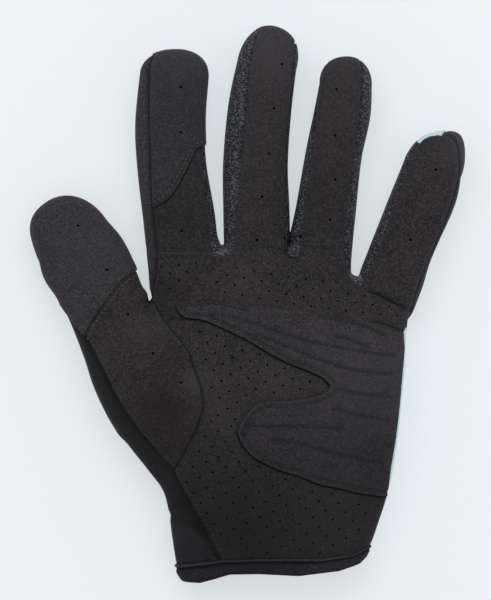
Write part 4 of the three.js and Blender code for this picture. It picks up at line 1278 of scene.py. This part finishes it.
def wrapped(name, pick, top, closing, material, replaces, cells, dip, out=0.0, shadow=0.0):
    """A panel under the glove that wraps up round its edge. Its grid over the edge ends at
    STRIP_UNDER inside the outline, and from there a flat filled sheet goes on to the line
    `closing`, sharing the grid's last row of points. `shadow` sets a painted shadow beside its seam."""
    under = pattern_distance(STRIP_UNDER, -1)
    points, faces, flat, lift = edge_grid(pick, top, under, cells, out, dip)
    rim = points[cells::cells + 1, :2]
    ring = np.vstack([rim, evenly(np.asarray(closing, float), 0.8)[1:-1]])[::-1]
    sheet_flat, sheet_faces = filled(ring, spacing=2.2, rows=(0.9,))
    sheet = in_batches(lambda some: lay_on(some, -1), sheet_flat)

    def next_to(some):
        gaps = np.linalg.norm(some[:, None] - rim, axis=2)
        return np.column_stack([gaps.argmin(1), gaps.min(1)])

    row, gap = in_batches(next_to, sheet_flat, 1000).T
    number = np.where(gap < 1e-3, row * (cells + 1) + cells, -1).astype(int)
    fresh = number < 0
    number[fresh] = len(points) + np.arange(fresh.sum())
    all_points = np.vstack([points, sheet[fresh]])
    all_faces = np.vstack([faces, number[sheet_faces[:, ::-1]]])
    all_lift = np.concatenate([lift, np.full(fresh.sum(), out)])
    all_lift += hollows(all_points[:, :2], FOLDS)
    all_points = all_points + outward(all_points, all_faces) * all_lift[:, None]
    all_points[:, 2] = np.maximum(all_points[:, 2], 0)
    edge_flat = np.repeat(OUTLINE[pick], cells + 1, axis=0)
    edge_flat += np.repeat(INWARD[pick], cells + 1, axis=0) * (STRIP_UNDER + under - flat[:, 1:])
    all_flat = np.vstack([edge_flat, sheet_flat[fresh]])
    # A painted shadow beside the seam
    past_seam = np.repeat(top, cells + 1) - flat[:, 1] - SHADOW_START
    wear_and_painted_light = np.concatenate([-shadow * np.exp(-((past_seam / SHADOW_WIDTH) ** 2)), np.zeros(fresh.sum())])
    piece = add_mesh(name, all_points, all_faces, material, replaces, all_flat, WALL, wear_and_painted_light=wear_and_painted_light)
    return piece


def knit(name, colour, dark):
    """Knitted stretch cloth: wales a little under a millimetre apart and courses half a millimetre
    apart, as two waves of bands, and an inner face painted near black as shade inside the glove."""
    material = new_material(name)
    at = shade(material, "UVMap", uv_map="pattern")
    wales = shade(material, "TexWave", {"Vector": at, "Scale": 38, "Distortion": 0.6, "Detail": 2},
                  "Fac", bands_direction="X")
    courses = shade(material, "TexWave", {"Vector": at, "Scale": 60, "Distortion": 0.4, "Detail": 2},
                    "Fac", bands_direction="Y")
    height = shade(material, "Math", {0: wales, 1: courses}, operation="ADD")
    tone = blend(material, wales, dark, colour)
    # The inner face painted near black as shade inside the glove
    tone = blend(material, reading(material, "inner"), tone, (0.008, 0.008, 0.009))
    finish_material(material, tone, height, 0.5, 0.3, Roughness=0.85, Specular_IOR_Level=0.25,
                    Sheen_Weight=0.1)
    return material


MINT = knit("mint_knit", (0.63, 0.84, 0.86), (0.44, 0.62, 0.65))
SLATE = smooth_cloth("slate_stretch", (0.0064, 0.0065, 0.0074), (0.022, 0.023, 0.026), 0.7, 0.04, 700, 0.5)

# The back panel's upper edge, as a pattern distance, which is below 0 past the outline: along the
# fingers' sides, within a radius of their tips, and beside the heel of the palm. Where the panel
# comes up over the edge, between two places, it is tucked under a seam of the palm side.
BACK_AT_SIDES, BACK_AT_TIPS, BACK_AT_HEEL = -9.0, -5.4, -3.2
BACK_TIPS = [((-27, 102), 11.5), ((10.5, 111), 9.5), ((38.5, 99.5), 9.0)]
BACK_HEEL = ((56.0, -76.5), (48.5, -98.6))
BACK_SEAMS = [((64.0, -9), (56.6, -75), PALM_EDGE_SEAM), ((66.2, 66.4), (78.5, 70.6), LITTLE_TIP_EDGE)]
BACK_TUCK = 1.0


def back_top(pick):
    """Pattern distance of the back panel's upper edge at places on the outline."""
    top = np.full(len(pick), BACK_AT_SIDES)
    for (x, y), radius in BACK_TIPS:
        top[np.hypot(OUTLINE[pick, 0] - x, OUTLINE[pick, 1] - y) < radius] = BACK_AT_TIPS
    for start, end, line in BACK_SEAMS:
        part = np.isin(pick, stretch_of(start, end))
        top[part] = reach_to(pick[part], on_plan(line)) + BACK_TUCK
    top[np.isin(pick, stretch_of(*BACK_HEEL))] = BACK_AT_HEEL
    return evened_out(top, 3)


# The two panels meet on the outline at the thumb's crotch, and end at the cuff's two sides
cuff_start, cuff_end = place_on_outline((-26.6, -108.0)), place_on_outline((48.5, -98.6))
thumb_end = place_on_outline((-38.6, 1.0))
back_pick = np.arange(thumb_end, cuff_end + 1)
back_closing = [(48.0, -98.6), (41, -102.4), (29, -104.4), (5, -104.4), *BACK_SEAM]
wrapped("back_panel", back_pick, back_top(back_pick), back_closing, MINT, ["back_panel"],
        cells=10, dip=0.5, out=-0.05)

THUMB_TUCK, THUMB_AT_TIP = 1.2, -5.2
thumb_pick = np.arange(cuff_start, thumb_end + 1)
thumb_seams = np.vstack([[(-6, -112)], on_plan(GUSSET_SEAM), on_plan(THUMB_OUTER_SEAM[::-1], THUMB),
                         on_plan(THUMB_CAP_SIDE, THUMB)])
before_tip = thumb_pick < place_on_outline((-74.6, -0.6))
thumb_top = np.where(before_tip, reach_to(thumb_pick, thumb_seams) + THUMB_TUCK, THUMB_AT_TIP)
wrapped("thumb_back_panel", thumb_pick, evened_out(thumb_top, 4), [*BACK_SEAM[::-1], (-20, -108.6)], SLATE,
        ["thumb_back_panel"], cells=30, dip=0.5, out=-0.15, shadow=0.8)


# The cuff binding
# A narrow dark band folded over the cuff's edge all round, stitched along its upper edge, where a
# thin piping shows as a pale line of painted highlight.

CUFF_SEAM = [(-36, -104.8), (-28.4, -104.4), (-18.8, -103.4), (-10, -102.2), (5.2, -101.6), (29.2, -101.6),
             (41.2, -99.8), (48.4, -96.1), (51.6, -93.7)]
CUFF_MOUTH = [(-36, -111.2), (-28, -110.7), (-22, -110.9), (-14.8, -109.3), (-7.6, -107.4), (5, -107.2),
              (21.2, -108), (37.2, -106.1), (44.4, -103.5), (48, -100.7), (51.6, -96.9)]
CUFF_MIDDLE = -104.0
CUFF_POINTS = 240
CUFF_PITCH = 0.75


def cuff_skin(turn, y, out):
    """Points round the cuff's section at places y along the hand, moved out of the skin: a
    superellipse, x = half cos ** (2 / n), z = rise sin ** (2 / n), cut off at the floor."""
    left, right, depth = (np.interp(y, PALM_TABLE[:, 1], PALM_TABLE[:, k]) for k in (0, 2, 4))
    rise = (depth + FLOOR_SINK) / 2
    power = 2 / PALM_SQUARENESS
    across = np.sign(np.cos(turn)) * np.abs(np.cos(turn)) ** power
    up = np.sign(np.sin(turn)) * np.abs(np.sin(turn)) ** power
    return np.stack([(left + right) / 2 + ((right - left) / 2 + out) * across, y,
                     np.maximum(rise - FLOOR_SINK + (rise + out) * up, 0)], axis=-1)


def round_cuff(profile, material, name, replaces, wall):
    """A band carried round the cuff: rows of (share of the way from the seam to the mouth, step on
    towards the mouth, distance out of the skin, how pale as painted highlight or, below 0, how dark as
    painted shade)."""
    turn = np.linspace(0, 2 * np.pi, CUFF_POINTS, endpoint=False)
    x = cuff_skin(turn, np.full(CUFF_POINTS, CUFF_MIDDLE), 0)[:, 0]
    start, end = (np.interp(x, *np.array(line).T) for line in (CUFF_SEAM, CUFF_MOUTH))
    rows = [cuff_skin(turn, start + (end - start) * share - step, out) for share, step, out, _ in profile]
    points = np.stack(rows, axis=1).reshape(-1, 3)
    i, j = np.meshgrid(np.arange(CUFF_POINTS), np.arange(len(profile) - 1), indexing="ij")
    a, b = (i * len(profile) + j).ravel(), ((i + 1) % CUFF_POINTS * len(profile) + j).ravel()
    faces = np.vstack([np.column_stack([a, a + 1, b + 1]), np.column_stack([a, b + 1, b])])
    flat = np.column_stack([np.repeat(np.arange(CUFF_POINTS) * CUFF_PITCH, len(profile)),
                            np.tile(np.arange(len(profile)) * 1.0, CUFF_POINTS)])
    wear_and_painted_light = np.tile([row[3] for row in profile], CUFF_POINTS)
    return add_mesh(name, points, faces, material, replaces, flat, wall, wear_and_painted_light=wear_and_painted_light)


BINDING = smooth_cloth("binding_cloth", (0.0048, 0.0046, 0.0066), (0.036, 0.035, 0.045), 0.75, 0.03, 650, 0.5)

# The band's section as rows of round_cuff: the piping, the stitched groove below it, the band's
# face, its fold round the cuff's edge as half an ellipse, and its inner face
FOLD_LENGTH, FOLD_HALF, FOLD_MIDDLE = 0.7, 1.05, -0.35
INNER_FACE = -1.45
# The piping is painted pale as a highlight, and the seam and the stitched groove below it painted dark as
# shade
binding_rows = [
    (0, 0, -0.1, -0.4), (0.0, 0.05, 0.3, 0.0), (0.02, 0.1, 0.5, 0.45), (0.05, 0.1, 0.5, 0.45),
    (0.08, 0.1, 0.3, -0.3), (0.12, 0.1, 0.05, -0.9), (0.24, 0, 0.05, -1.0), (0.32, 0, 0.4, -0.5),
    (0.42, 0, 0.75, 0.05), (0.6, 0, 0.8, 0.1), (0.85, 0, 0.75, 0.1)]
binding_rows += [(1, FOLD_LENGTH * (np.sin(t) - 1), FOLD_MIDDLE + FOLD_HALF * np.cos(t), 0.0)
                 for t in np.linspace(0, np.pi, 9)]
binding_rows += [(0.6, 0, INNER_FACE, 0.0), (0.2, 0, INNER_FACE, 0.0), (0, -1.5, INNER_FACE, 0.0)]
round_cuff(binding_rows, BINDING, "cuff_binding", ["cuff_binding"], wall=0.4)


# The floor, light and camera
# The glove lies on a plain pale light table, under even, soft light that is stronger from the
# fingers' end, so that it throws hardly any shadow.

def plain(name, colour, rough, glow):
    """An even material that also gives off light."""
    material = new_material(name)
    shader = material.node_tree.nodes["Principled BSDF"]
    shader.inputs["Base Color"].default_value = (*colour, 1)
    shader.inputs["Roughness"].default_value = rough
    shader.inputs["Specular IOR Level"].default_value = 0.0
    shader.inputs["Emission Color"].default_value = (*glow, 1)
    shader.inputs["Emission Strength"].default_value = 1.0
    return material


FLOOR_HALF = 4.0
FLOOR_GAP = 0.0001
corners = [(FLOOR_HALF * x, FLOOR_HALF * y, 0) for x, y in ((-1, -1), (1, -1), (1, 1), (-1, 1))]
floor_mesh = bpy.data.meshes.new("floor")
floor_mesh.from_pydata(corners, [], [(0, 1, 2, 3)])
floor = bpy.data.objects.new("floor", floor_mesh)
floor.location.z = -FLOOR_GAP
bpy.context.scene.collection.objects.link(floor)
floor_mesh.materials.append(plain("floor_white", (0.323, 0.338, 0.348), 1.0, (0.508, 0.533, 0.548)))

bpy.context.scene.view_settings.view_transform = "Standard"
world = bpy.data.worlds.new("studio")
bpy.context.scene.world = world
world.use_nodes = True
world.node_tree.nodes["Background"].inputs["Color"].default_value = (1, 1, 1, 1)
world.node_tree.nodes["Background"].inputs["Strength"].default_value = 0.85

lamp = bpy.data.lights.new("softbox", "AREA")
lamp.shape, lamp.size, lamp.size_y, lamp.energy = "RECTANGLE", 1.6, 1.0, 7.8
softbox = bpy.data.objects.new("softbox", lamp)
softbox.location = (-0.15, 0.95, 1.25)
softbox.rotation_euler = (np.radians(-37), np.radians(-5), 0)
bpy.context.scene.collection.objects.link(softbox)

# The camera looks straight down through a long lens, from where the photo's height takes in
# PHOTO_HEIGHT at the level of the palm's edge
PHOTO_HEIGHT, PHOTO_LEVEL = 0.24, 0.012
SENSOR, FOCAL = 36, 250
lens = bpy.data.cameras.new("camera")
lens.sensor_width, lens.lens = SENSOR, FOCAL
camera = bpy.data.objects.new("camera", lens)
camera.location = (-0.0008, 0.00145, PHOTO_LEVEL + PHOTO_HEIGHT * FOCAL / SENSOR)
bpy.context.scene.collection.objects.link(camera)
bpy.context.scene.camera = camera
